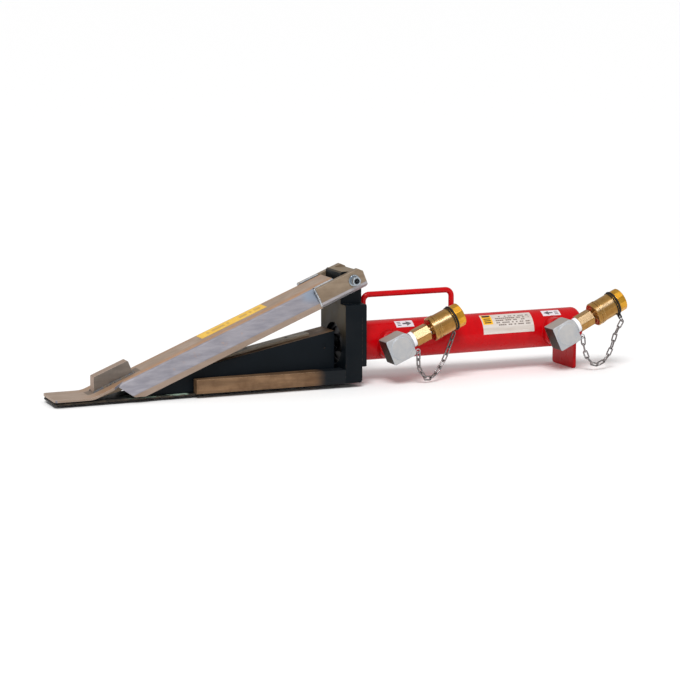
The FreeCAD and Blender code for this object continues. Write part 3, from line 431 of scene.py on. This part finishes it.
def build_pin(net):
    """Turned pin steel, with painted shade, near black, inside the sockets in its ends."""
    x, _, z = net.place()
    cloud = grain(net, 200.0, 0.3, 0.7)
    fine = grain(net, 1400.0, 0.3, 0.7)
    edge_marks = edge(net, 0.0006, 500.0, 0.3, 0.5)
    rise = net.math("SUBTRACT", z, PIN_Z)
    away = net.math("SQRT", net.math("ADD", net.math("MULTIPLY", x, x), net.math("MULTIPLY", rise, rise)))
    # painted shade: near-black, non-metal colour inside the end sockets, where shade falls
    painted_socket_shade = net.step(net.math("SUBTRACT", 0.00395, away), -0.0001, 0.0002)
    colour = net.mix(cloud[0], srgb(150, 160, 170), srgb(176, 184, 190))
    colour = net.mix(net.math("MULTIPLY", edge_marks[0], 0.6), colour, srgb(226, 230, 234))
    colour = net.mix(painted_socket_shade, colour, srgb(14, 12, 12))
    return {"Base Color": colour, "Roughness": roughness(net, 0.28, 0.1, cloud[0]), "Height": fine[1],
            "Strength": 0.1, "Rounded": edge_marks[2],
            "Metallic": net.math("MULTIPLY", net.math("SUBTRACT", 1.0, painted_socket_shade), 0.9)}


def build_brass(net):
    """Turned brass: painted reflections as long soft bands round the barrel, dark below and light above, fine
    turning marks and bright edges.
    """
    _, _, nz = net.facing()
    cloud = grain(net, 160.0, 0.3, 0.7)
    fine = grain(net, 1400.0, 0.3, 0.7)
    edge_marks = edge(net, 0.0006, 500.0, 0.3, 0.5)
    colour = net.mix(cloud[0], srgb(198, 154, 88), srgb(178, 132, 70))
    # painted reflection: a dark brown band on the lower, downward-turned side of the barrel
    low = net.math("MULTIPLY", net.step(nz, -0.62, -0.30),
                   net.step(net.math("SUBTRACT", 0.22, nz), 0.0, 0.25))
    colour = net.mix(net.math("MULTIPLY", low, 0.55), colour, srgb(118, 78, 34))
    # painted highlight: a pale band on the upper side of the barrel
    high = net.math("MULTIPLY", net.step(nz, 0.30, 0.42), net.step(net.math("SUBTRACT", 0.66, nz), 0.0, 0.12))
    colour = net.mix(net.math("MULTIPLY", high, 0.6), colour, srgb(226, 200, 164))
    colour = net.mix(net.math("MULTIPLY", edge_marks[0], 0.6), colour, srgb(240, 212, 150))
    return {"Base Color": colour, "Roughness": roughness(net, 0.17, 0.10, cloud[0]), "Height": fine[1],
            "Strength": 0.05, "Rounded": edge_marks[2], "Metallic": 1.0}


def build_elbow(net):
    """Grey cast zinc: a darker rear face that is a painted dark reflection, brighter corners that are painted
    highlights, and faint pitting.
    """
    nx, _, nz = net.facing()
    cloud = grain(net, 70.0, 0.3, 0.7)
    pits = grain(net, 900.0, 0.35, 0.65)
    edge_marks = edge(net, 0.0024, 300.0, 0.2, 0.45)
    # painted reflection: faces turned away to the rear are painted dark olive-brown
    away = net.math("ADD", net.math("MULTIPLY", nx, -0.91), net.math("MULTIPLY", nz, -0.41))
    colour = net.mix(cloud[0], srgb(164, 166, 170), srgb(182, 180, 178))
    colour = net.mix(net.step(nz, 0.45, 0.9), colour, srgb(160, 150, 142))
    colour = net.mix(net.step(away, 0.55, 0.85), colour,
                     net.mix(cloud[0], srgb(38, 32, 25), srgb(54, 48, 40)))
    # painted highlight: blue-white colour on the elbow's corners and edges
    colour = net.mix(net.math("MULTIPLY", edge_marks[0], 0.6), colour, srgb(214, 226, 240))
    return {"Base Color": colour, "Roughness": roughness(net, 0.36, 0.12, cloud[0]), "Metallic": 0.35,
            "Height": pits[1], "Strength": 0.3, "Rounded": edge_marks[2]}


def build_weld(net):
    """Blue-grey to straw weld metal with sooty patches."""
    cloud = grain(net, 240.0, 0.35, 0.65)
    soot = grain(net, 420.0, 0.56, 0.68)
    colour = net.mix(cloud[0], srgb(96, 102, 112), srgb(126, 112, 94))
    colour = net.mix(net.math("MULTIPLY", soot[0], 0.85), colour, srgb(44, 40, 38))
    return {"Base Color": colour, "Roughness": roughness(net, 0.42, 0.2, cloud[0]), "Metallic": 0.6,
            "Height": cloud[1], "Strength": 0.4}


def build_rubber(net):
    fine = grain(net, 900.0, 0.3, 0.7)
    dust = grain(net, 160.0, 0.5, 0.75)
    colour = net.mix(net.math("MULTIPLY", dust[0], 0.35), srgb(22, 17, 17), srgb(70, 62, 58))
    return {"Base Color": colour, "Roughness": roughness(net, 0.5, 0.15, dust[0]), "Height": fine[1],
            "Strength": 0.15}


def build_white(net):
    fine = grain(net, 500.0, 0.3, 0.7)
    grime = grain(net, 140.0, 0.5, 0.8)
    colour = net.mix(net.math("MULTIPLY", grime[0], 0.3), srgb(236, 236, 240), srgb(190, 184, 178))
    return {"Base Color": colour, "Roughness": roughness(net, 0.45, 0.1, grime[0]), "Height": fine[1],
            "Strength": 0.05}


# Printed plates. U runs along the cylinder and V down round it.
def tube_plate(net, x0, x1, angle0, angle1):
    x, y, z = net.place()
    u = net.math("DIVIDE", net.math("SUBTRACT", x, x0), x1 - x0)
    turn = net.math("ARCTAN2", net.math("MULTIPLY", y, -1.0), net.math("SUBTRACT", z, CYL_Z))
    v = net.math("DIVIDE", net.math("SUBTRACT", turn, math.radians(angle0)), math.radians(angle1 - angle0))
    return u, v


def arrow(net, u, v, u0, u1, v0, v1):
    """A solid triangle pointing along U, between V limits."""
    run = net.math("DIVIDE", net.math("SUBTRACT", u, u0), u1 - u0)
    off = net.math("ABSOLUTE", net.math("SUBTRACT", v, (v0 + v1) / 2))
    edge_v = net.math("MULTIPLY", net.math("SUBTRACT", 1.0, run), (v1 - v0) / 2)
    inside = net.math("LESS_THAN", off, edge_v)
    return net.math("MULTIPLY", inside, net.span(run, 0.0, 1.0))


def port_label(x0, x1, angle0, angle1, flip):
    def build(net):
        u, v = tube_plate(net, x0, x1, angle0, angle1)
        if flip:
            u = net.math("SUBTRACT", 1.0, u)
        marks = arrow(net, u, v, 0.62, 0.92, 0.14, 0.86)
        for u0, u1, v0, v1 in ((0.40, 0.63, 0.38, 0.62), (0.10, 0.30, 0.20, 0.32), (0.10, 0.30, 0.44, 0.56),
                               (0.10, 0.30, 0.68, 0.80)):
            marks = net.math("MAXIMUM", marks, bar(net, u, v, u0, u1, v0, v1))
        fade = grain(net, 700.0, 0.25, 0.45)
        colour = net.mix(net.math("MULTIPLY", marks, fade[0]), srgb(216, 208, 214), srgb(84, 78, 84))
        return {"Base Color": colour, "Roughness": 0.38}
    return build


def build_rating(net):
    """A silver plate with rows of plain short bars, and a yellow and black patch at its front end."""
    u, v = tube_plate(net, 0.204, 0.285, 22.0, 88.0)
    rows = net.math("MULTIPLY", v, 9.0)
    row = net.math("FLOOR", rows)
    columns = net.math("MULTIPLY", u, 26.0)
    within = net.span(net.math("FRACT", rows), 0.26, 0.78)
    within = net.math("MULTIPLY", within, net.math("GREATER_THAN", net.math("FRACT", columns), 0.16))
    cells = net.node("ShaderNodeCombineXYZ", {0: net.math("FLOOR", columns), 1: row})
    dots = net.node("ShaderNodeTexWhiteNoise", {"Vector": cells.outputs[0]}, noise_dimensions="3D").outputs[0]
    text = net.math("MULTIPLY", within, net.math("GREATER_THAN", dots, 0.30))
    text = net.math("MULTIPLY", text, bar(net, u, v, 0.27, 0.94, 0.11, 0.67))
    satin = grain(net, 240.0, 0.3, 0.7, (0.1, 1.0, 1.0))
    colour = net.mix(satin[0], srgb(206, 194, 184), srgb(222, 214, 208))
    colour = net.mix(net.math("MULTIPLY", text, 0.82), colour, srgb(84, 58, 52))
    patch = bar(net, u, v, 0.02, 0.21, 0.03, 0.56)
    colour = net.mix(patch, colour, srgb(232, 172, 20))
    colour = net.mix(bar(net, u, v, 0.04, 0.19, 0.05, 0.17), colour, srgb(34, 26, 20))
    for v0 in (0.24, 0.34, 0.44):
        colour = net.mix(bar(net, u, v, 0.05, 0.18, v0, v0 + 0.06), colour, srgb(70, 48, 18))
    return {"Base Color": colour, "Roughness": roughness(net, 0.30, 0.1, satin[0]),
            "Metallic": net.math("MULTIPLY", net.math("SUBTRACT", 1.0, patch), 0.35)}


def build_jaw_label(net):
    """A worn yellow strip with a row of faint plain bars."""
    x, y, _ = net.place()
    u = net.math("DIVIDE", net.math("ADD", x, 0.2106), 0.0936)
    v = net.math("DIVIDE", net.math("ADD", y, 0.007), 0.024)
    cells = net.node("ShaderNodeCombineXYZ", {0: net.math("FLOOR", net.math("MULTIPLY", u, 26.0))})
    dots = net.node("ShaderNodeTexWhiteNoise", {"Vector": cells.outputs[0]}, noise_dimensions="3D").outputs[0]
    text = net.math("MULTIPLY", net.math("GREATER_THAN", dots, 0.42), bar(net, u, v, 0.08, 0.94, 0.30, 0.70))
    scuff = grain(net, 520.0, 0.44, 0.62)
    colour = net.mix(grain(net, 90.0)[0], srgb(236, 190, 52), srgb(226, 174, 30))
    colour = net.mix(net.math("MULTIPLY", text, 0.5), colour, srgb(150, 112, 50))
    colour = net.mix(net.math("MULTIPLY", scuff[0], 0.45), colour, srgb(206, 176, 116))
    return {"Base Color": colour, "Roughness": roughness(net, 0.4, 0.2, scuff[0])}


MATERIALS = {
    "red_paint": material("red_paint", build_red, Specular_IOR_Level=0.14, Coat_Weight=0.06,
                          Coat_Roughness=0.05),
    "black_paint": material("black_paint", build_black, Specular_IOR_Level=0.12),
    "wedge_paint": material("wedge_paint", build_wedge, Specular_IOR_Level=0.12),
    "base_paint": material("base_paint", build_base, Specular_IOR_Level=0.15),
    "mill_steel": material("mill_steel", build_rail, Specular_IOR_Level=0.2),
    "sheet_steel": material("sheet_steel", build_sheet),
    "arm_steel": material("arm_steel", build_arm),
    "fin_steel": material("fin_steel", build_fin),
    "wear_steel": material("wear_steel", build_strip),
    "pin_steel": material("pin_steel", build_pin),
    "dark_steel": material("dark_steel", plain_metal(srgb(38, 38, 40), srgb(54, 52, 52), 0.38, 0.8, 200.0,
                                                     0.1, srgb(120, 118, 116))),
    "rod_chrome": material("rod_chrome", plain_metal(srgb(208, 210, 214), srgb(196, 198, 204), 0.07, 1.0,
                                                     60.0, 0.01)),
    "zinc_cast": material("zinc_cast", build_elbow),
    "brass": material("brass", build_brass),
    "brass_cap": material("brass_cap", plain_metal(srgb(222, 166, 56), srgb(200, 142, 40), 0.22, 0.9, 160.0,
                                                   0.05, srgb(244, 210, 130))),
    "valve_steel": material("valve_steel", plain_metal(srgb(180, 182, 186), srgb(160, 162, 168), 0.22)),
    "spring_steel": material("spring_steel", plain_metal(srgb(120, 122, 126), srgb(96, 98, 102), 0.3)),
    "ball_steel": material("ball_steel", plain_metal(srgb(214, 216, 220), srgb(200, 202, 208), 0.08, 1.0,
                                                     60.0, 0.01)),
    "chain_steel": material("chain_steel", plain_metal(srgb(150, 146, 146), srgb(112, 106, 106), 0.22, 0.9,
                                                       420.0, 0.15, srgb(196, 192, 192))),
    "iron_gland": material("iron_gland", plain_metal(srgb(58, 58, 62), srgb(76, 74, 74), 0.4, 0.8)),
    "bronze_washer": material("bronze_washer", plain_metal(srgb(184, 120, 84), srgb(160, 100, 70), 0.3)),
    "weld_metal": material("weld_metal", build_weld),
    "arm_weld_metal": material("arm_weld_metal", build_arm_weld),
    "black_rubber": material("black_rubber", build_rubber, Specular_IOR_Level=0.25),
    "seal_rubber": material("seal_rubber", build_rubber),
    "white_plastic": material("white_plastic", build_white),
    "plate_silver": material("plate_silver", build_rating),
    "label_yellow": material("label_yellow", build_jaw_label),
    "front_label": material("front_label", port_label(0.0715, 0.0985, 22.0, 48.0, False)),
    "rear_label": material("rear_label", port_label(0.304, 0.333, 19.0, 43.0, True)),
}

# Which CAD node wears what. Any node not named here wears the material of its slot in the record.
WORN = {
    "base_plate": "base_paint", "wedge_block": "wedge_paint", "fork_arm_near": "arm_steel",
    "fork_arm_far": "arm_steel", "stop_fin": "fin_steel", "thrust_pad": "arm_steel",
    "rod_cross_pin": "wedge_paint",
    "front_port_label": "front_label", "rear_port_label": "rear_label",
}
slot_of = {entry["node"]: entry["material_slot"] for entry in frame["record"]["subparts"]}
for name, node in frame["nodes"].items():
    node.data.materials.clear()
    node.data.materials.append(MATERIALS[WORN.get(name, slot_of[name])])


# Repeated shapes by Geometry Nodes
def geometry_tree(name, sockets):
    tree = bpy.data.node_groups.new(name, "GeometryNodeTree")
    tree.interface.new_socket("Geometry", in_out="INPUT", socket_type="NodeSocketGeometry")
    for label, kind in sockets:
        tree.interface.new_socket(label, in_out="INPUT", socket_type=kind)
    tree.interface.new_socket("Geometry", in_out="OUTPUT", socket_type="NodeSocketGeometry")
    net = Net(tree)
    return tree, net, tree.nodes.new("NodeGroupInput").outputs, tree.nodes.new("NodeGroupOutput")


def build_weld_tree():
    """Overlapping flattened drops along each curve, a little uneven, as a weld's ripples."""
    tree, net, given, sink = geometry_tree("weld_bead", [("Bead Radius", FLOAT), ("Step", FLOAT),
                                                         ("Seed", "NodeSocketInt"),
                                                         ("Material", "NodeSocketMaterial")])
    points = net.node("GeometryNodeCurveToPoints", {"Curve": given["Geometry"], "Length": given["Step"]},
                      mode="LENGTH")
    drop = net.node("GeometryNodeMeshIcoSphere", {"Radius": given["Bead Radius"], "Subdivisions": 2})
    size = net.node("FunctionNodeRandomValue", {2: 0.82, 3: 1.12, "Seed": given["Seed"]}, data_type="FLOAT")
    scale = net.node("ShaderNodeCombineXYZ", {0: size.outputs[1], 1: size.outputs[1], 2: 0.62})
    placed = net.node("GeometryNodeInstanceOnPoints", {"Points": points.outputs["Points"],
                                                       "Instance": drop.outputs[0],
                                                       "Rotation": points.outputs["Rotation"],
                                                       "Scale": scale.outputs[0]})
    real = net.node("GeometryNodeRealizeInstances", {0: placed.outputs[0]})
    done = net.node("GeometryNodeSetMaterial", {"Geometry": real.outputs[0], "Material": given["Material"]})
    smooth = net.node("GeometryNodeSetShadeSmooth", {0: done.outputs[0]})
    tree.links.new(smooth.outputs[0], sink.inputs[0])
    return tree


def build_chain_tree():
    """Oval wire links along a curve, each a quarter turn from the next."""
    tree, net, given, sink = geometry_tree("link_chain", [("Links", "NodeSocketInt"), ("Link Length", FLOAT),
                                                          ("Link Width", FLOAT), ("Wire Radius", FLOAT),
                                                          ("Turn", FLOAT), ("Seed", "NodeSocketInt"),
                                                          ("Material", "NodeSocketMaterial")])
    inset = net.math("DIVIDE", 0.5, given["Links"])
    trimmed = net.node("GeometryNodeTrimCurve", {0: given["Geometry"], "Start": inset,
                                                 "End": net.math("SUBTRACT", 1.0, inset)}, mode="FACTOR")
    points = net.node("GeometryNodeCurveToPoints", {"Curve": trimmed.outputs[0], "Count": given["Links"]},
                      mode="COUNT")
    oval = net.node("GeometryNodeCurvePrimitiveQuadrilateral", {"Width": given["Link Length"],
                                                                "Height": given["Link Width"]})
    half = net.math("MULTIPLY", given["Link Width"], 0.499)
    soft = net.node("GeometryNodeFilletCurve", {"Curve": oval.outputs[0], "Count": 5, "Radius": half},
                    mode="POLY")
    ring = net.node("GeometryNodeCurvePrimitiveCircle", {"Resolution": 8, "Radius": given["Wire Radius"]})
    wire = net.node("GeometryNodeCurveToMesh", {"Curve": soft.outputs[0], "Profile Curve": ring.outputs[0]})
    stand = net.node("GeometryNodeTransform", {"Geometry": wire.outputs[0],
                                               "Rotation": (0.0, math.pi / 2, 0.0)})
    placed = net.node("GeometryNodeInstanceOnPoints", {"Points": points.outputs["Points"],
                                                       "Instance": stand.outputs[0],
                                                       "Rotation": points.outputs["Rotation"]})
    index = net.node("GeometryNodeInputIndex").outputs[0]
    odd = net.math("MODULO", index, 2.0)
    wobble = net.node("FunctionNodeRandomValue", {2: -0.16, 3: 0.16, "Seed": given["Seed"]},
                      data_type="FLOAT")
    turn = net.math("ADD", net.math("MULTIPLY", odd, math.pi / 2),
                    net.math("ADD", given["Turn"], wobble.outputs[1]))
    spun = net.node("GeometryNodeRotateInstances",
                    {"Instances": placed.outputs[0],
                     "Rotation": net.node("ShaderNodeCombineXYZ", {2: turn}).outputs[0]})
    real = net.node("GeometryNodeRealizeInstances", {0: spun.outputs[0]})
    done = net.node("GeometryNodeSetMaterial", {"Geometry": real.outputs[0], "Material": given["Material"]})
    smooth = net.node("GeometryNodeSetShadeSmooth", {0: done.outputs[0]})
    tree.links.new(smooth.outputs[0], sink.inputs[0])
    return tree


def grown(name, paths, tree, values, look):
    """The plain mesh that a tree makes along the given paths."""
    curve = bpy.data.curves.new(name + "_line", "CURVE")
    curve.dimensions = "3D"
    for path in paths:
        spline = curve.splines.new("POLY")
        spline.points.add(len(path) - 1)
        for point, place in zip(spline.points, path):
            point.co = (*place, 1.0)
    maker = bpy.data.objects.new(name + "_maker", curve)
    scene.collection.objects.link(maker)
    modifier = maker.modifiers.new("grow", "NODES")
    modifier.node_group = tree
    values = dict(values, Seed=SEED, Material=MATERIALS[look])
    for socket in tree.interface.items_tree:
        if socket.in_out == "INPUT" and socket.name in values:
            modifier[socket.identifier] = values[socket.name]
    depsgraph = bpy.context.evaluated_depsgraph_get()
    mesh = bpy.data.meshes.new_from_object(maker.evaluated_get(depsgraph), depsgraph=depsgraph)
    bpy.data.objects.remove(maker)
    mesh.name = name
    mesh.materials.clear()
    mesh.materials.append(MATERIALS[look])
    mesh.polygons.foreach_set("material_index", [0] * len(mesh.polygons))
    piece = bpy.data.objects.new(name, mesh)
    scene.collection.objects.link(piece)
    return piece


weld_tree = build_weld_tree()
chain_tree = build_chain_tree()


def weld(name, body, paths, radius, look="weld_metal"):
    piece = grown(name, paths, weld_tree, {"Bead Radius": radius, "Step": radius * 0.8}, look)
    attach(piece, body)
    return piece


def from_jaw(u, y, v):
    """A point in the jaw's own axes about the pivot, in the frame."""
    c, s = math.cos(JAW_SLOPE), math.sin(JAW_SLOPE)
    return (u * c - v * s, y, PIN_Z + u * s + v * c)


def jaw_top(x, y, lift=0.0):
    return (x, y, PIN_Z + JAW_TOP_V / math.cos(JAW_SLOPE) + x * math.tan(JAW_SLOPE) + lift)


def saddle(x, z, radius, start=0.0, end=2 * math.pi, count=48, out=0.0):
    """A line round a round boss, where it meets the cylinder."""
    line = []
    for i in range(count + 1):
        t = start + (end - start) * i / count
        pz = z + radius * math.cos(t)
        reach = max(TUBE_R ** 2 - (pz - CYL_Z) ** 2, 0.0)
        line.append((x + radius * math.sin(t), -math.sqrt(reach) - out, pz))
    return line


def circle_x(x, radius, start, end, count=64):
    """An arc round the cylinder's axis; angles from straight up towards the ports."""
    arc = []
    for i in range(count + 1):
        t = math.radians(start + (end - start) * i / count)
        arc.append((x, -radius * math.sin(t), CYL_Z + radius * math.cos(t)))
    return arc


FIN_XS = (-0.363, -0.3085)
FIN_HALF = 0.008
fin_paths = [[jaw_top(x, side * (FIN_HALF + 0.0008)) for x in FIN_XS] for side in (-1, 1)]
fin_paths += [[jaw_top(FIN_XS[1] + 0.0006, -FIN_HALF), jaw_top(FIN_XS[1] + 0.0006, FIN_HALF)]]
weld("fin_weld", "jaw", fin_paths, 0.0024)

arm_paths = []
for side in (-1, 1):
    arm_paths.append([from_jaw(ARM_FRONT_U - 0.0004, side * (ARM_OUTER_Y - 0.0048), 0.0115),
                      from_jaw(ARM_FRONT_U - 0.0004, side * (ARM_OUTER_Y - 0.0015), 0.002),
                      from_jaw(ARM_FRONT_U - 0.0004, side * (ARM_OUTER_Y - 0.0010), -0.0125)])
    arm_paths.append([from_jaw(ARM_FRONT_U + 0.002, side * 0.0268, 0.0124),
                      from_jaw(-0.026, side * 0.0268, 0.0124)])
weld("arm_weld", "jaw", arm_paths, 0.0019, "arm_weld_metal")

red_paths = [circle_x(FLANGE_REAR_X + 0.0006, TUBE_R + 0.0004, 0, 360)]
red_paths += [saddle(p["x"], p["z"], BOSS_R + 0.0003) for p in PORTS.values()]
for x in HANDLE_XS:
    red_paths.append([(x + (HANDLE_R + 0.0004) * math.cos(t), (HANDLE_R + 0.0004) * math.sin(t),
                       CYL_Z + math.sqrt(TUBE_R ** 2 - ((HANDLE_R + 0.0004) * math.sin(t)) ** 2))
                      for t in [2 * math.pi * i / 20 for i in range(21)]])
for x in (FOOT_X - 0.0002, FOOT_X + FOOT_T + 0.0002):
    red_paths.append(circle_x(x, TUBE_R + 0.0003, 62, 298))
weld("frame_weld", "base_frame", red_paths, 0.0011, "red_paint")


def port_point(port, a, y, w):
    c, s = math.cos(port["tilt"]), math.sin(port["tilt"])
    return Vector((port["x"] + a * c - w * s, ELBOW_Y + y, port["z"] + a * s + w * c))


def hang_point(port, w):
    """A point below the cap, on the line that its strap hangs along."""
    return port_point(port, STRAP_A, -w * math.sin(port["turn"]), w * math.cos(port["turn"]))


# Dust cap chains
EYE = (0.018 + 0.0042, -0.009, -0.016)
EYE_R = 0.0031
HANG_R = 0.0040
HANG_WIRE_R = 0.0006
CAP_SKIRT_R = 0.0167
STRAP_R = 0.0016
STRAP_TAB_LEN = 0.007
HOLE_W = -CAP_SKIRT_R - STRAP_R * 0.4 - STRAP_TAB_LEN * 0.72
PLAY = 0.0017
SAGS = {
    "front": [(0.0885, 0.0220), (0.0953, 0.0115), (0.1032, 0.0037), (0.1142, 0.0050), (0.1248, 0.0146),
              (0.1350, 0.0286), (0.1436, 0.0451)],
    "rear": [(0.3487, 0.0322), (0.3550, 0.0165), (0.3657, 0.0062), (0.3763, 0.0069), (0.3867, 0.0141),
              (0.3951, 0.0287), (0.4018, 0.0481)],
}
PITCH = 0.0104
LINK_LENGTH = 0.0128
LINK_WIDTH = 0.0052
LINK_WIRE = 0.00108


def flowing(route, steps=12):
    """A smooth line through every point of the route."""
    ends = [2 * Vector(route[0]) - Vector(route[1])] + [Vector(p) for p in route]
    ends.append(2 * Vector(route[-1]) - Vector(route[-2]))
    line = []
    for p0, p1, p2, p3 in zip(ends, ends[1:], ends[2:], ends[3:]):
        for i in range(steps):
            t = i / steps
            line.append(0.5 * (2 * p1 + (p2 - p0) * t + (2 * p0 - 5 * p1 + 4 * p2 - p3) * t * t
                               + (3 * p1 - p0 - 3 * p2 + p3) * t ** 3))
    return line + [ends[-2]]


def torus(centre, axis, radius, wire, around=32, across=12):
    """Vertices and faces of a ring."""
    spin = Vector((0, 0, 1)).rotation_difference(Vector(axis)).to_matrix()
    points = []
    for i in range(around):
        t = 2 * math.pi * i / around
        for j in range(across):
            s = 2 * math.pi * j / across
            r = radius + wire * math.cos(s)
            points.append(spin @ Vector((r * math.cos(t), r * math.sin(t), wire * math.sin(s)))
                          + Vector(centre))
    faces = [(i * across + j, (i + 1) % around * across + j, (i + 1) % around * across + (j + 1) % across,
              i * across + (j + 1) % across) for i in range(around) for j in range(across)]
    return points, faces


def add_ring(piece, centre, axis, radius, wire):
    mesh = piece.data
    points, faces = torus(centre, axis, radius, wire)
    start = len(mesh.vertices)
    old = [tuple(v.co) for v in mesh.vertices]
    old_faces = [tuple(p.vertices) for p in mesh.polygons]
    joined = bpy.data.meshes.new(mesh.name)
    joined.from_pydata(old + [tuple(p) for p in points], [],
                       old_faces + [tuple(start + i for i in f) for f in faces])
    joined.materials.append(mesh.materials[0])
    for face in joined.polygons:
        face.use_smooth = True
    piece.data = joined


for name, port in PORTS.items():
    first = port_point(port, EYE[0], EYE[1], EYE[2] - EYE_R + PLAY)
    last = hang_point(port, HOLE_W - 2 * HANG_R + PLAY)
    sag = SAGS[name]
    drift = (last.y - first.y) / (len(sag) + 1)
    route = ([tuple(first)] + [(x, first.y + drift * (i + 1), z) for i, (x, z) in enumerate(sag)]
             + [tuple(last)])
    line = flowing(route)
    length = sum((b - a).length for a, b in zip(line, line[1:]))
    chain = grown(name + "_link_chain", [line], chain_tree,
                  {"Links": round(length / PITCH), "Link Length": LINK_LENGTH, "Link Width": LINK_WIDTH,
                   "Wire Radius": LINK_WIRE, "Turn": math.pi / 4}, "chain_steel")
    normal = Vector((math.cos(port["tilt"]), 0, math.sin(port["tilt"])))
    add_ring(chain, hang_point(port, HOLE_W - HANG_R), normal, HANG_R, HANG_WIRE_R)
    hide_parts(name + "_chain")
    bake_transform(chain)

# Detent ball beside each coupler's neck
BALL_R = 0.0017
BALL_AT = (0.0505, -0.0080, -0.0010)
for name, port in PORTS.items():
    ball_mesh = bpy.data.meshes.new(name + "_detent_ball")
    shape = bmesh.new()
    bmesh.ops.create_icosphere(shape, subdivisions=3, radius=BALL_R)
    bmesh.ops.translate(shape, verts=shape.verts, vec=port_point(port, *BALL_AT))
    shape.to_mesh(ball_mesh)
    shape.free()
    ball_mesh.materials.append(MATERIALS["ball_steel"])
    for face in ball_mesh.polygons:
        face.use_smooth = True
    ball = bpy.data.objects.new(name + "_detent_ball", ball_mesh)
    scene.collection.objects.link(ball)
    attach(ball, "base_frame")

# Camera, light and floor
camera_data = bpy.data.cameras.new("camera")
camera_data.sensor_width = 36.0
camera_data.lens = 109.74
camera = bpy.data.objects.new("camera", camera_data)
camera.location = (-1.12637, -2.60689, 0.52644)
camera.rotation_euler = (math.radians(80.597), 0.0, math.radians(-23.262))
scene.collection.objects.link(camera)
scene.camera = camera


def softbox(name, place, aim, width, height, power):
    light = bpy.data.lights.new(name, "AREA")
    light.shape = "RECTANGLE"
    light.size = width
    light.size_y = height
    light.energy = power
    lamp = bpy.data.objects.new(name, light)
    lamp.location = place
    lamp.rotation_euler = (Vector(aim) - Vector(place)).to_track_quat("-Z", "Y").to_euler()
    scene.collection.objects.link(lamp)


sun_data = bpy.data.lights.new("soft_sun", "SUN")
sun_data.energy = 2.1
sun_data.angle = math.radians(24)
sun = bpy.data.objects.new("soft_sun", sun_data)
sun.rotation_euler = (Vector((0.0, 0.0, 0.0)) - Vector((-0.45, -0.85, 1.15))).to_track_quat("-Z",
                                                                                            "Y").to_euler()
scene.collection.objects.link(sun)
softbox("strip_light", (-0.25, -1.0, 1.25), (0.05, 0.0, 0.08), 1.5, 0.16, 3.0)
world = bpy.data.worlds.new("studio")
world.use_nodes = True
world.node_tree.nodes["Background"].inputs["Color"].default_value = (1, 1, 1, 1)
world.node_tree.nodes["Background"].inputs["Strength"].default_value = 0.55
scene.world = world
scene.view_settings.view_transform = "Standard"

FLOOR_HALF = 500.0
floor_mesh = bpy.data.meshes.new("floor")
floor_mesh.from_pydata([(-FLOOR_HALF, -FLOOR_HALF, FLOOR_Z), (FLOOR_HALF, -FLOOR_HALF, FLOOR_Z),
                        (FLOOR_HALF, FLOOR_HALF, FLOOR_Z), (-FLOOR_HALF, FLOOR_HALF,
                                                            FLOOR_Z)], [], [(0, 1, 2, 3)])
floor = bpy.data.objects.new("floor", floor_mesh)
scene.collection.objects.link(floor)
floor_mesh.materials.append(material("floor_white", lambda net: {"Base Color": (0.97, 0.97, 0.97, 1.0),
                                                                 "Roughness": 0.9}))
